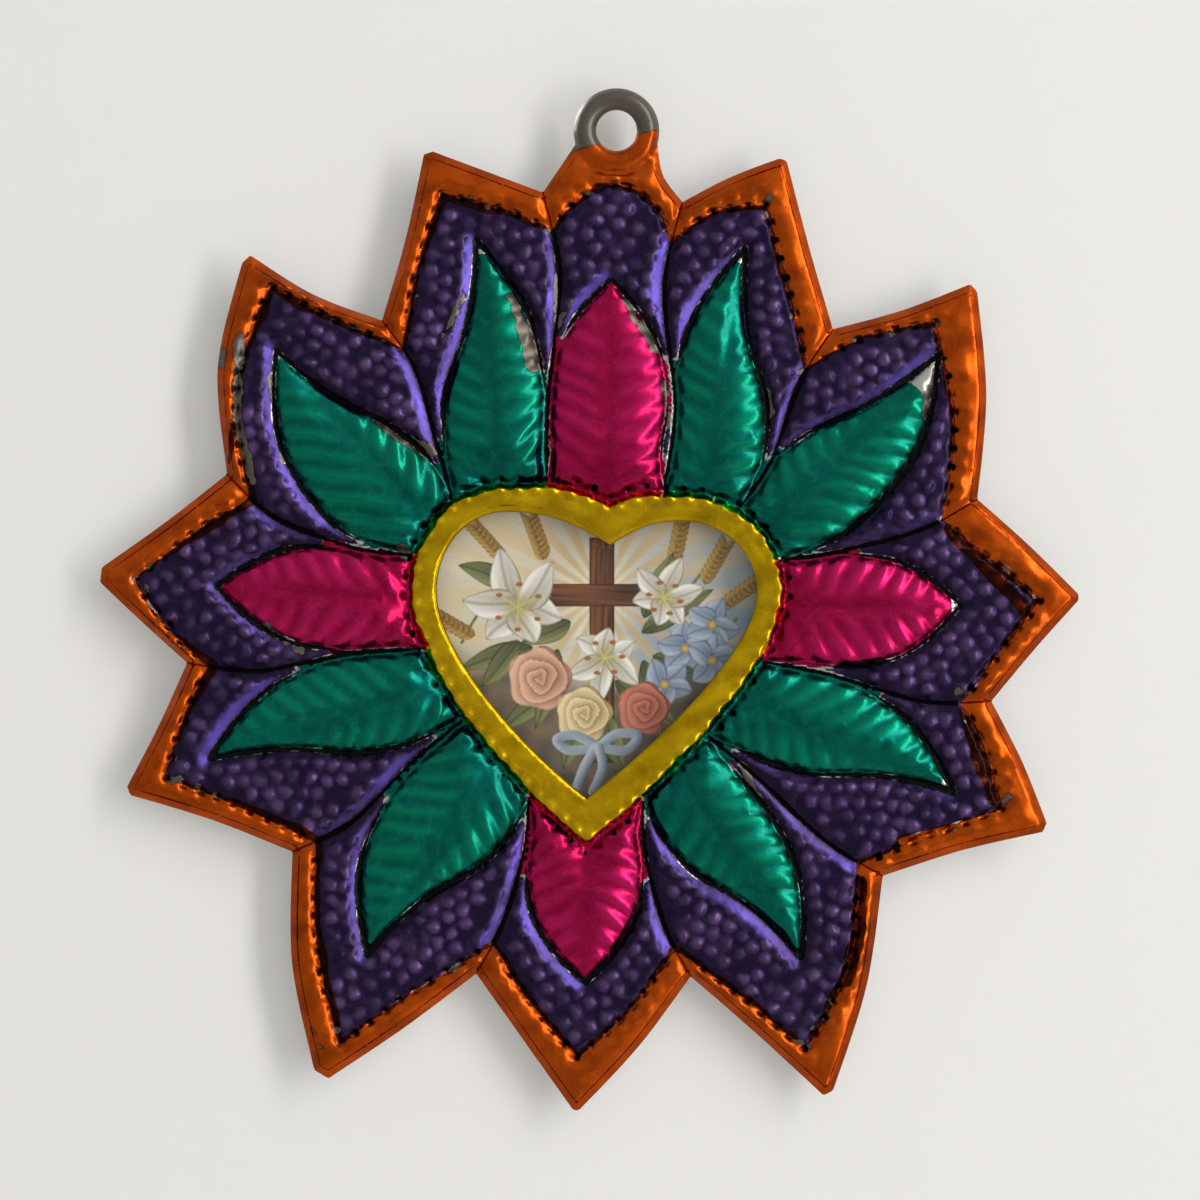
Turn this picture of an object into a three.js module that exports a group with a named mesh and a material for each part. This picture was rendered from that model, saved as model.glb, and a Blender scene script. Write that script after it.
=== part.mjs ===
// A devotional niche of embossed tin, made to hang on a wall. A flower of twelve petals is cut from one
// thin sheet and worked in relief with its hanging ring. Behind its heart-shaped window a strip of tin,
// bent into a heart, holds a picture card and a board, closed by a back plate under four folded straps.
// Sizes are in millimetres. X runs to the right, Z up, and Y from the face back towards the wall. The
// origin is the middle of the hanging hole.
import * as THREE from "three";
import { mergeVertices } from "three/addons/utils/BufferGeometryUtils.js";

// Sheet, and the reach of petals and notches from the middle of the flower
const SHEET_THICKNESS = 0.3;
const NOTCH_REACH = 65;
const PETAL_RISE = 18.5;
const BORDER_AT_TIP = 8.5;
const BORDER_AT_NOTCH = 5.5;
const LEAF_GAP = 0.9;

// Heart window, measured from the middle of the flower. The slopes, in degrees, are those of its shoulders
// beside the notch and of its flanks above the tip.
const WINDOW = {
  rightSide: 27.3,
  leftSide: 26,
  sideHeight: 6.5,
  rightTop: 18.3,
  leftTop: 19.8,
  lobeSpread: 14.6,
  notch: [2.9, 14.3],
  tip: [-1, -27.8],
  shoulderSlope: 31,
  flankSlope: 38,
};

// How far the heart's curves keep to their tangents, as shares of the width or height that each spans
const SHOULDER_PULL = 0.4;
const LOBE_PULL = 0.56;
const SIDE_PULL = 0.27;
const FLANK_PULL = 0.36;

// Band round the window, flat between its rounded edges, with its lip turned back into the niche
const BAND_WIDTH = 4.6;
const BAND_EXTRA_AT_NOTCH = 1.4;
const BAND_EXTRA_AT_TIP = 2.2;
const BAND_ROUNDING = 0.9;
const BAND_BEND = 0.4;
const LIP_DEPTH = 1.9;
const LIP_ROUNDING = 0.5;

// Hanging ring
const RING_RADIUS = 7.15;
const RING_HOLE_RADIUS = 3.4;
const RING_DIRECTION = 2.7;
const NECK_HALF_ANGLE = 72;
const NECK_ARCH = [5, 2];

// Heights of the relief in front of the border's plane
const LEAF_HEIGHT = 3.2;
const MIDRIB_DEPTH = 0.35;
const FIELD_HEIGHT = 1.8;
const BAND_HEIGHT = 1.8;
const BORDER_HEIGHT = 0.8;
const RING_HEIGHT = 1.4;
const EDGE_TURNED_BACK = 0.7;
const BAND_GROOVE_HEIGHT = 0.3;

// Niche behind the window
const NICHE_DEPTH = 6.5;
const WALL_THICKNESS = 0.3;
const SEAM_GAP = 0.3;
const PLATE_THICKNESS = 0.3;
const CARD_THICKNESS = 0.35;
const BOARD_THICKNESS = 1.5;
const CARD_CLEARANCE = 0.3;
const SOLDER_LEG = 0.8;
const STRAP_FOOT = 3;
const STRAP_LEG = 4;
const STRAP_THICKNESS = 0.3;

// The petals, clockwise from the one with the ring. direction is that of the tip, in degrees clockwise from
// straight up, and the rest is in millimetres: reach is added to the flower's own, bead to the border's
// width at the tip, cut is the width of the clipped tip, and edge and line say how far each side of the
// sheet's edge and of the bead line swells.
const petals = [
  { direction: 357, bead: 0.6, edge: [0, -1.2], line: [0.4, 0.6] },
  { direction: 22, reach: 1.3, bead: -0.2, cut: 1.2, edge: [0.5, -0.2], line: [1.8, 0.1] },
  { direction: 48, reach: 2, bead: 0.4, cut: 1.7, edge: [-0.6, 1.5], line: [1.5, 2.6] },
  { direction: 86, reach: -2.3, bead: -1.8, cut: 1, edge: [0.3, -0.2], line: [0, -0.1] },
  { direction: 113.5, reach: -1.3, bead: -0.4, cut: 1.6, edge: [0.5, -0.6], line: [0.9, -0.3] },
  { direction: 153, reach: 3, bead: 0, cut: 1.8, edge: [1.5, -0.2], line: [3, -0.6] },
  { direction: 182, reach: -3.5, bead: 0.6, cut: 1, edge: [0.8, 0], line: [1.1, 0.8] },
  { direction: 211.5, reach: 3.2, bead: -2.3, cut: 2.8, edge: [0.4, 1.9], line: [-0.7, 1.7] },
  { direction: 251, reach: -1.6, bead: -1.7, cut: 1.5, edge: [-0.6, -0.3], line: [-0.6, 0.7] },
  { direction: 276.5, reach: -0.9, bead: -2.4, cut: 2.5, edge: [0.1, -0.3], line: [1, 0.5] },
  { direction: 317, reach: 1.3, bead: -2.2, cut: 1.9, edge: [2.8, -1.2], line: [4, -0.6] },
  { direction: 341, reach: 0.8, bead: -1.2, cut: 1.6, edge: [-0.5, 0], line: [0.8, 0.7] },
];

// The leaves, in the same order. direction is that of the leaf's tip, field how far it stops short of the
// bead line, left and right its widths on either side of its midrib, and hollow the side that is drawn in
// like a sickle.
const leaves = [
  { direction: 3, field: 15.8, left: 10, right: 10 },
  { direction: 21.7, field: 8, left: 8, right: 9.5, hollow: "right" },
  { direction: 51.4, field: 3.1, left: 7.5, right: 10.3, hollow: "left" },
  { direction: 86, field: 13.1, left: 9, right: 9.8 },
  { direction: 114, field: 8.4, left: 10, right: 8, hollow: "right" },
  { direction: 147.5, field: 13.6, left: 8.8, right: 8.6, hollow: "right" },
  { direction: 181.3, field: 12.4, left: 9.6, right: 9.9 },
  { direction: 215, field: 15, left: 9.4, right: 11.3, hollow: "left" },
  { direction: 251.6, field: 8, left: 8, right: 9.7, hollow: "left" },
  { direction: 276.8, field: 13.4, left: 9, right: 8.3 },
  { direction: 311.5, field: 8.1, left: 12, right: 7.5, hollow: "right" },
  { direction: 343.4, field: 9.2, left: 9, right: 9, hollow: "left" },
];

// The creases between petals, each on the anticlockwise side of the petal with its number. root is the
// direction in which it leaves the band round the heart, direction that of the notch where it ends, reach is
// added to the notches' own, border to the border's width there, and sway is how far it bends to the left of
// its way out, at each of the two places along it.
const SWAY_PLACES = [0.3, 0.7];
const creases = [
  { root: 342.3, direction: 353.5, reach: 8.6, border: 1.3, sway: [-0.4, -2.6] },
  { root: 27.2, direction: 11.8, reach: 8.1, border: 1.4, sway: [-0.9, 2.1] },
  { root: 50.3, direction: 38.5, reach: -0.7, border: 2.2, sway: [-1, 0.8] },
  { root: 69.3, direction: 71.1, reach: 2.8, border: 1.5, sway: [-1.6, -2.1] },
  { root: 100.2, direction: 100, reach: 2.5, border: -0.2, sway: [-0.2, -2] },
  { root: 132.7, direction: 130.2, reach: -1.7, border: -1, sway: [-0.3, -1.4] },
  { root: 163.5, direction: 164.2, reach: -5.1, border: 0, sway: [-2, -2] },
  { root: 201.6, direction: 198.8, reach: -4.6, border: 0.4, sway: [1.9, 1.9] },
  { root: 235.5, direction: 233.7, reach: -2.8, border: -0.9, sway: [0.3, 2.1] },
  { root: 264, direction: 265.5, reach: 2.9, border: -1.5, sway: [0, 2] },
  { root: 292.9, direction: 293.2, reach: 1.4, border: 0.3, sway: [2.8, 3.4] },
  { root: 312.9, direction: 325.8, reach: -2.4, border: 0.4, sway: [-1, -2.2] },
];

// How finely each stretch is divided. The heart's counts are for its shoulders, lobes and flanks.
const CREASE_STEPS = 6;
const BEAD_STEPS = 4;
const LEAF_COLUMNS = 6;
const NECK_STEPS = 6;
const RING_STEPS = 14;
const HEART_STEPS = [5, 7, 8];
const HEART_SEARCH_STEPS = 3000;

// Facets of the niche wall, counted clockwise from its seam, that carry a fillet of solder or a strap
const SOLDER_FACETS = [3, 8, 12, 17, 22, 27, 31, 36];
const STRAP_FACETS = [4, 14, 25, 35];

// Profiles of the relief. Each pair is a place across the stretch, from 0 to 1, and the share of its height
// there. The field's pad is never higher than a share of its width, and the border's ridge sinks at creases.
const FIELD_PROFILE = [[0, 0], [0.3, 1], [0.72, 1], [1, 0]];
const FIELD_STEEPNESS = 0.35;
const BORDER_PROFILE = [[0, 0.1], [0.4, 1], [0.8, 0.35]];
const RIDGE_AT_CREASE = 0.2;
const RING_PROFILE = [[0, 0], [0.25, 1], [0.62, 1], [1, 0]];

// Shape of a leaf: its sides, as a place along the leaf and the share of its width there, the share of a
// side that lies along its crease, how round its dome is across, and the midrib's share of its half-width
const ROUND_SIDE = [[0.2, 0.92], [0.42, 1], [0.66, 0.86], [0.85, 0.48]];
const HOLLOW_SIDE = [[0.2, 0.95], [0.42, 0.82], [0.66, 0.34], [0.85, 0.1]];
const LEAF_AT_CORNER = 0.76;
const DOME_ROUNDNESS = 2.4;
const MIDRIB_SHARE = 1 / 3;

// Shape of solder: how full a fillet is between its two legs, and how thick a dab is at its two edges, as
// shares of a fillet's leg
const FILLET_FULLNESS = 0.35;
const DAB_EDGES = [0.8, 0.3];

// Points closer than this are one point of the sheet
const MERGE_DISTANCE = 1e-3;

const LACQUERED_TIN = { color: 0x5a3a8a, roughness: 0.35, metalness: 0.9 };
const BARE_TIN = { color: 0xb4b4b0, roughness: 0.35, metalness: 0.9 };
const SOLDER = { color: 0x9c9ca0, roughness: 0.4, metalness: 0.9 };
const PRINTED_CARD = { color: 0xd8d4c8, roughness: 0.5, metalness: 0 };
const GREY_BOARD = { color: 0x9a8f80, roughness: 0.9, metalness: 0 };

const flowerReach = NOTCH_REACH + PETAL_RISE;

// A point at a reach and a direction, in degrees clockwise from straight up, from the middle of the flower
function polar(reach, direction) {
  const angle = THREE.MathUtils.degToRad(direction);
  return new THREE.Vector2(reach * Math.sin(angle), reach * Math.cos(angle));
}

// The middle of the ring seen from the middle of the flower, which places the flower below the hole
const ringMiddle = polar(flowerReach, RING_DIRECTION);

// The left-hand side of a way from one point to another
function leftOf(from, to) {
  const way = to.clone().sub(from).normalize();
  return new THREE.Vector2(-way.y, way.x);
}

// A smooth curve from one point to another that leaves their chord by the given amounts to its left.
// Each of offsets is a place along the chord and the distance from it.
function bentCurve(from, to, offsets) {
  const side = leftOf(from, to);
  const bends = offsets.map(([place, away]) => from.clone().lerp(to, place).addScaledVector(side, away));
  return new THREE.SplineCurve([from, ...bends, to]);
}

// Points evenly spaced on a curve, between two shares of its length
function spaced(curve, start, end, steps) {
  const step = (end - start) / steps;
  return Array.from({ length: steps + 1 }, (_, k) => curve.getPointAt(start + k * step));
}

// One side of a heart's outline from its notch to its tip, in three curves: shoulder, lobe and flank. sign is
// 1 on the right and -1 on the left.
function heartSide(notch, tip, side, top, sign) {
  const shoulderSlope = Math.tan(THREE.MathUtils.degToRad(WINDOW.shoulderSlope));
  const flankSlope = Math.tan(THREE.MathUtils.degToRad(WINDOW.flankSlope));
  const shoulder = SHOULDER_PULL * Math.abs(top.x - notch.x);
  const wide = LOBE_PULL * Math.abs(side.x - top.x);
  const high = LOBE_PULL * (top.y - side.y);
  const drop = side.y - tip.y;
  const flank = FLANK_PULL * drop;
  return [
    new THREE.CubicBezierCurve(
      notch,
      new THREE.Vector2(notch.x + sign * shoulder, notch.y + shoulder * shoulderSlope),
      new THREE.Vector2(top.x - sign * shoulder, top.y),
      top,
    ),
    new THREE.CubicBezierCurve(
      top,
      new THREE.Vector2(top.x + sign * wide, top.y),
      new THREE.Vector2(side.x, side.y + high),
      side,
    ),
    new THREE.CubicBezierCurve(
      side,
      new THREE.Vector2(side.x, side.y - SIDE_PULL * drop),
      new THREE.Vector2(tip.x + sign * flank, tip.y + flank * flankSlope),
      tip,
    ),
  ];
}

// The window's outline, grown by a margin all round and by some more at its notch and its tip. It runs
// clockwise from the notch in six stretches: right shoulder, right lobe, right flank, left flank, left lobe
// and left shoulder.
function heartOutline(margin, extraAtNotch = 0, extraAtTip = 0) {
  const atNotch = margin / Math.cos(THREE.MathUtils.degToRad(WINDOW.shoulderSlope)) + extraAtNotch;
  const atTip = margin / Math.cos(THREE.MathUtils.degToRad(WINDOW.flankSlope)) + extraAtTip;
  const notch = new THREE.Vector2(WINDOW.notch[0], WINDOW.notch[1] + atNotch);
  const tip = new THREE.Vector2(WINDOW.tip[0], WINDOW.tip[1] - atTip);
  const [right, left] = [
    [1, WINDOW.rightSide, WINDOW.rightTop],
    [-1, WINDOW.leftSide, WINDOW.leftTop],
  ].map(([sign, sideReach, topHeight]) => {
    const side = new THREE.Vector2(sign * (sideReach + margin), WINDOW.sideHeight);
    const top = new THREE.Vector2(sign * WINDOW.lobeSpread, topHeight + margin);
    return heartSide(notch, tip, side, top, sign);
  });
  // The left side runs the other way, from the tip up to the notch
  const upwards = left
    .reverse()
    .map(({ v0, v1, v2, v3 }) => new THREE.CubicBezierCurve(v3, v2, v1, v0));
  return [...right, ...upwards];
}

// The point of a heart outline at a place from 0 to 6, one for each stretch. 0 and 6 are the notch, 3 is the
// tip.
function heartPoint(outline, place) {
  const turn = THREE.MathUtils.euclideanModulo(place, outline.length);
  const stretch = Math.min(Math.floor(turn), outline.length - 1);
  return outline[stretch].getPoint(turn - stretch);
}

// The place on a heart outline that lies in a direction from the middle of the flower
function heartPlace(outline, direction) {
  const wanted = polar(1, direction);
  let best = 0;
  let nearest = -Infinity;
  for (let k = 0; k < HEART_SEARCH_STEPS; k += 1) {
    const place = (k * outline.length) / HEART_SEARCH_STEPS;
    const likeness = heartPoint(outline, place).normalize().dot(wanted);
    if (likeness > nearest) {
      nearest = likeness;
      best = place;
    }
  }
  return best;
}

const windowEdge = heartOutline(0);
const bandEdge = heartOutline(BAND_WIDTH, BAND_EXTRA_AT_NOTCH, BAND_EXTRA_AT_TIP);
const heartCorners = [0, 3];

// Places on the heart from one crease's root to the next, evenly spread, with the heart's own corner as one
// of them where it lies between
function basePlaces(index) {
  let from = heartPlace(bandEdge, creases[index].root);
  const to = heartPlace(bandEdge, creases[(index + 1) % creases.length].root);
  if (from > to) from -= windowEdge.length;
  const places = Array.from({ length: LEAF_COLUMNS + 1 }, (_, k) => from + ((to - from) * k) / LEAF_COLUMNS);
  for (const corner of heartCorners) {
    if (corner <= from || corner >= to) continue;
    const k = Math.round(((corner - from) / (to - from)) * LEAF_COLUMNS);
    places[THREE.MathUtils.clamp(k, 1, LEAF_COLUMNS - 1)] = corner;
  }
  return places;
}

// A crease from its root on the band to its notch in the sheet's edge, with the corner where the border
// starts
function makeCrease(crease) {
  const root = heartPoint(bandEdge, heartPlace(bandEdge, crease.root));
  const notch = polar(NOTCH_REACH + crease.reach, crease.direction);
  const curve = bentCurve(root, notch, SWAY_PLACES.map((place, k) => [place, crease.sway[k]]));
  const corner = 1 - (BORDER_AT_NOTCH + crease.border) / curve.getLength();
  const acrossBorder = BORDER_PROFILE.map(([place]) => curve.getPointAt(corner + (1 - corner) * place));
  return {
    notch,
    inField: spaced(curve, 0, corner, CREASE_STEPS),
    inBorder: [...acrossBorder, notch],
  };
}

const creaseLines = creases.map(makeCrease);

// The foot of the ring: the lower arc of the ring, and the arch of the bead line under it
function makeNeck(petal) {
  const arch = polar(flowerReach - BORDER_AT_TIP - petal.bead, RING_DIRECTION);
  const half = THREE.MathUtils.degToRad(NECK_HALF_ANGLE);
  const edge = [];
  const bead = [];
  for (let k = 0; k <= NECK_STEPS; k += 1) {
    const share = (2 * k) / NECK_STEPS - 1;
    const outward = new THREE.Vector2(Math.sin(share * half), -Math.cos(share * half));
    edge.push(outward.multiplyScalar(RING_RADIUS).add(ringMiddle));
    const along = new THREE.Vector2(NECK_ARCH[0] * share, -NECK_ARCH[1] * share * share);
    bead.push(along.add(arch));
  }
  return { edge, bead };
}

// A petal's clipped tip: the points of the sheet's edge there, and the points of the bead line that face them
function makeTip(petal) {
  const middle = polar(flowerReach + petal.reach, petal.direction);
  const across = polar(petal.cut / 2, petal.direction + 90);
  const beadTip = polar(flowerReach + petal.reach - BORDER_AT_TIP - petal.bead, petal.direction);
  return { edge: [middle.clone().sub(across), middle.clone().add(across)], bead: [beadTip, beadTip] };
}

// A line from one crease to the next over the tip's own points, whose two sides swell by the given amounts
function overTip(from, tipPoints, to, swell) {
  const rising = bentCurve(from, tipPoints[0], [[0.5, swell[0]]]);
  const falling = bentCurve(tipPoints.at(-1), to, [[0.5, swell[1]]]);
  return [
    ...spaced(rising, 0, 1, BEAD_STEPS).slice(0, -1),
    ...tipPoints,
    ...spaced(falling, 0, 1, BEAD_STEPS).slice(1),
  ];
}

// One side of a leaf from its base to its tip. sign is 1 on the left of the way out and -1 on the right.
function leafSide(base, middle, tip, width, hollow, sign) {
  const shape = hollow ? HOLLOW_SIDE : ROUND_SIDE;
  const side = leftOf(middle, tip).multiplyScalar(sign * width);
  const bends = shape.map(([place, share]) => middle.clone().lerp(tip, place).addScaledVector(side, share));
  const curve = new THREE.SplineCurve([base, ...bends, tip]);
  const points = [];
  for (let k = 0; k <= CREASE_STEPS + BEAD_STEPS; k += 1) {
    const onCrease = Math.min(1, k / CREASE_STEPS);
    const beyond = Math.max(0, k - CREASE_STEPS) / BEAD_STEPS;
    const place = onCrease * (1 - (1 - LEAF_AT_CORNER) * onCrease) + (1 - LEAF_AT_CORNER) * beyond;
    points.push(curve.getPointAt(Math.min(1, place)));
  }
  return points;
}

// Keeps a leaf's side clear of the crease beside it
function clearOfCrease(points, crease, sign) {
  for (let k = 1; k < crease.length; k += 1) {
    const next = crease[Math.min(k + 1, crease.length - 1)];
    const inward = leftOf(crease[k - 1], next).multiplyScalar(-sign);
    const room = points[k].clone().sub(crease[k]).dot(inward);
    if (room < LEAF_GAP) points[k].addScaledVector(inward, LEAF_GAP - room);
  }
  return points;
}

// The plan of one petal: the lines that its patches of relief hang on, each clockwise
function planPetal(index) {
  const petal = petals[index];
  const leaf = leaves[index];
  const before = creaseLines[index];
  const after = creaseLines[(index + 1) % creaseLines.length];
  const places = basePlaces(index);
  const base = places.map((place) => heartPoint(bandEdge, place));
  const ring = index === 0;
  const tip = ring ? makeNeck(petal) : makeTip(petal);
  const bead = overTip(before.inField.at(-1), tip.bead, after.inField.at(-1), petal.line);
  const edge = overTip(before.notch, tip.edge, after.notch, petal.edge);
  const beadMiddle = tip.bead[Math.floor(tip.bead.length / 2)];
  const leafMiddle = base[0].clone().lerp(base.at(-1), 0.5);
  const leafTip = polar(beadMiddle.length() - leaf.field, leaf.direction);
  const left = leafSide(base[0], leafMiddle, leafTip, leaf.left, leaf.hollow === "left", 1);
  const right = leafSide(base.at(-1), leafMiddle, leafTip, leaf.right, leaf.hollow === "right", -1);
  clearOfCrease(left, before.inField, 1);
  clearOfCrease(right, after.inField, -1);
  const fieldEdge = [...before.inField.slice(0, -1), ...bead, ...after.inField.toReversed().slice(1)];
  const overTheTip = tip.bead.slice(1, -1).map(() => leafTip);
  const leafEdge = [...left, ...overTheTip, ...right.toReversed()];
  return { places, base, left, right, leafTip, leafEdge, fieldEdge, bead, edge, before, after, ring };
}

// A point of the relief: a plan point in front of the border's plane by a height
function raise(point, height) {
  return new THREE.Vector3(point.x, -height, point.y);
}

// Puts the quads between the rows of a patch into a list of triangles. Rows run outwards from the heart or
// the leaf and their points clockwise, so that every patch faces the front.
function addPatch(triangles, rows) {
  for (let r = 0; r + 1 < rows.length; r += 1) {
    for (let k = 0; k + 1 < rows[r].length; k += 1) {
      const [a, b] = [rows[r][k], rows[r][k + 1]];
      const [d, c] = [rows[r + 1][k], rows[r + 1][k + 1]];
      triangles.push([a, b, c], [a, c, d]);
    }
  }
}

// Height of a leaf's dome at a share of the way along it and across it, where it is this wide
function domeHeight(along, across, width) {
  const fromMidrib = Math.abs(2 * across - 1);
  const domed = Math.sqrt(1 - fromMidrib ** DOME_ROUNDNESS);
  const rib = MIDRIB_DEPTH * Math.max(0, 1 - fromMidrib / MIDRIB_SHARE);
  const lift = Math.sqrt(Math.max(0, 1 - along ** 3));
  const narrow = Math.min(1, width / (2 * LEAF_HEIGHT));
  return narrow * lift * domed * (LEAF_HEIGHT - rib);
}

// The leaf: a dome with a crease down its midrib, closed at the band and at its tip
function addLeaf(triangles, plan) {
  const last = plan.left.length - 1;
  const corners = [plan.base[0], plan.base.at(-1)];
  const rows = plan.left.map((leftPoint, j) => {
    const rightPoint = plan.right[j];
    const along = j / last;
    return plan.base.map((basePoint, k) => {
      if (j === 0) return raise(basePoint, BAND_GROOVE_HEIGHT);
      if (j === last) return raise(plan.leafTip, 0);
      const across = k / LEAF_COLUMNS;
      const chord = corners[0].clone().lerp(corners[1], across);
      const bulge = basePoint.clone().sub(chord).multiplyScalar((1 - along) ** 3);
      const point = leftPoint.clone().lerp(rightPoint, across).add(bulge);
      return raise(point, domeHeight(along, across, leftPoint.distanceTo(rightPoint)));
    });
  });
  addPatch(triangles, rows);
}

// The field round the leaf, a pad between the groove along the leaf and the creases and bead line outside it
function addField(triangles, plan) {
  const last = plan.leafEdge.length - 1;
  const rows = FIELD_PROFILE.map(([place, share]) =>
    plan.leafEdge.map((inner, k) => {
      const outer = plan.fieldEdge[k];
      const height = share * Math.min(FIELD_HEIGHT, FIELD_STEEPNESS * inner.distanceTo(outer));
      const atRoot = k === 0 || k === last;
      const onBead = place === 1 && k >= CREASE_STEPS && k <= last - CREASE_STEPS;
      const beadHeight = onBead ? BORDER_PROFILE[0][1] * BORDER_HEIGHT : 0;
      return raise(inner.clone().lerp(outer, place), atRoot ? BAND_GROOVE_HEIGHT : height + beadHeight);
    }),
  );
  addPatch(triangles, rows);
}

// The border strip outside the bead line, with its ridge and its edge turned back a little. Its ends lie on
// the creases, where the ridge sinks.
function addBorder(triangles, plan) {
  const last = plan.bead.length - 1;
  const rows = [...BORDER_PROFILE, [1, 0]].map(([place, share], layer) =>
    plan.bead.map((inner, k) => {
      const onCrease = k === 0 || k === last;
      const crease = k === 0 ? plan.before : plan.after;
      const point = onCrease ? crease.inBorder[layer] : inner.clone().lerp(plan.edge[k], place);
      const atNeck = plan.ring && k > BEAD_STEPS && k < last - BEAD_STEPS;
      const turned = place === 1 && !atNeck ? EDGE_TURNED_BACK : 0;
      const sunk = onCrease && layer > 0 ? RIDGE_AT_CREASE : 1;
      return raise(point, share * BORDER_HEIGHT * sunk - turned);
    }),
  );
  addPatch(triangles, rows);
}

// Rows across the band, as shares of its width. The bends take the rounded edges into the flat between them.
const bandShares = [BAND_ROUNDING, BAND_ROUNDING + BAND_BEND].map((reach) => reach / BAND_WIDTH);
const bandRows = [...bandShares, ...bandShares.toReversed().map((share) => 1 - share)];

// The band round the window, flat on top, and the lip that is turned back into the niche
function addBand(triangles, plan) {
  const inner = plan.places.map((place) => heartPoint(windowEdge, place));
  const outer = plan.base;
  const between = (share) => inner.map((point, k) => point.clone().lerp(outer[k], share));
  addPatch(triangles, [
    inner.map((point) => raise(point, BAND_HEIGHT - LIP_DEPTH)),
    inner.map((point) => raise(point, BAND_HEIGHT - LIP_ROUNDING)),
    ...bandRows.map((share) => between(share).map((point) => raise(point, BAND_HEIGHT))),
    outer.map((point) => raise(point, BAND_GROOVE_HEIGHT)),
  ]);
}

// The ring above the petal of its own, embossed round, with the hole in its middle
function addRing(triangles, plan) {
  const neck = plan.edge.slice(BEAD_STEPS, plan.edge.length - BEAD_STEPS);
  const right = neck.at(-1).clone().sub(ringMiddle).angle();
  const left = neck[0].clone().sub(ringMiddle).angle();
  const sweep = THREE.MathUtils.euclideanModulo(left - right, 2 * Math.PI);
  const outline = neck.toReversed();
  for (let k = 1; k < RING_STEPS; k += 1) {
    const angle = left - (sweep * k) / RING_STEPS;
    const outward = new THREE.Vector2(Math.cos(angle), Math.sin(angle));
    outline.push(outward.multiplyScalar(RING_RADIUS).add(ringMiddle));
  }
  outline.push(outline[0]);
  const rows = RING_PROFILE.map(([place, share]) =>
    outline.map((outer, k) => {
      const hole = outer.clone().sub(ringMiddle).setLength(RING_HOLE_RADIUS).add(ringMiddle);
      const inNeck = k > 0 && k < neck.length - 1;
      const turned = place === 1 && !inNeck ? EDGE_TURNED_BACK : 0;
      return raise(hole.lerp(outer, place), share * RING_HEIGHT - turned);
    }),
  );
  addPatch(triangles, rows);
}

// A sheet of even thickness behind an open surface: the surface, its copy moved back along the normals and
// turned over, and walls round every open edge
function sheetBehind(triangles, thickness) {
  const loose = new THREE.BufferGeometry().setFromPoints(triangles.flat());
  const surface = mergeVertices(loose, MERGE_DISTANCE);
  const place = surface.getAttribute("position");
  const faces = [];
  for (let f = 0; f < surface.index.count; f += 3) {
    const [a, b, c] = [0, 1, 2].map((corner) => surface.index.getX(f + corner));
    if (a !== b && b !== c && c !== a) faces.push([a, b, c]);
  }
  surface.setIndex(faces.flat());
  surface.computeVertexNormals();
  const normal = surface.getAttribute("normal");
  const front = [];
  const back = [];
  for (let k = 0; k < place.count; k += 1) {
    const point = new THREE.Vector3().fromBufferAttribute(place, k);
    const out = new THREE.Vector3().fromBufferAttribute(normal, k);
    front.push(point);
    back.push(point.clone().addScaledVector(out, -thickness));
  }
  const behind = place.count;
  const index = faces.flatMap(([a, b, c]) => [a, b, c, a + behind, c + behind, b + behind]);
  const used = new Set(faces.flatMap(([a, b, c]) => [`${a} ${b}`, `${b} ${c}`, `${c} ${a}`]));
  for (const [a, b, c] of faces) {
    for (const [from, to] of [[a, b], [b, c], [c, a]]) {
      if (used.has(`${to} ${from}`)) continue;
      index.push(from, from + behind, to + behind, from, to + behind, to);
    }
  }
  return new THREE.BufferGeometry().setFromPoints([...front, ...back]).setIndex(index);
}

function faceSheet() {
  const triangles = [];
  const plans = petals.map((_, index) => planPetal(index));
  for (const plan of plans) {
    addBand(triangles, plan);
    addLeaf(triangles, plan);
    addField(triangles, plan);
    addBorder(triangles, plan);
  }
  addRing(triangles, plans[0]);
  return sheetBehind(triangles, SHEET_THICKNESS);
}

// Heights behind the border's plane at which the niche's parts lie
const bandBack = SHEET_THICKNESS - BAND_HEIGHT;
const wallRear = bandBack + NICHE_DEPTH;
const plateRear = wallRear + PLATE_THICKNESS;
const boardFront = wallRear - BOARD_THICKNESS;
const cardFront = boardFront - CARD_THICKNESS;

// The wall stands in the middle of the band's flat, and its fillet reaches no further than the flat does
const wallSetback = (BAND_WIDTH - WALL_THICKNESS) / 2;
const flatBeside = wallSetback - BAND_ROUNDING - BAND_BEND;
const filletReach = Math.min(SOLDER_LEG, flatBeside);

// The line of the niche wall's inner face, clockwise from its seam at the tip up the left and down the right
function wallLine() {
  const outline = heartOutline(wallSetback);
  const points = [];
  for (const stretch of [3, 4, 5, 0, 1, 2]) {
    const steps = HEART_STEPS[stretch < 3 ? stretch : 5 - stretch];
    for (let k = 0; k < steps; k += 1) points.push(heartPoint(outline, stretch + k / steps));
  }
  points.push(heartPoint(outline, 3));
  return points;
}

// Outward sides at each point of the wall line, long enough at bends to keep an even thickness
function outwardSides(line) {
  const facetSides = line.slice(1).map((point, k) => leftOf(line[k], point));
  return line.map((_, k) => {
    const arriving = facetSides[Math.max(0, k - 1)];
    const leaving = facetSides[Math.min(k, facetSides.length - 1)];
    const side = arriving.clone().add(leaving).normalize();
    return side.divideScalar(side.dot(arriving));
  });
}

const wall = wallLine();
const wallSides = outwardSides(wall);

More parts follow.
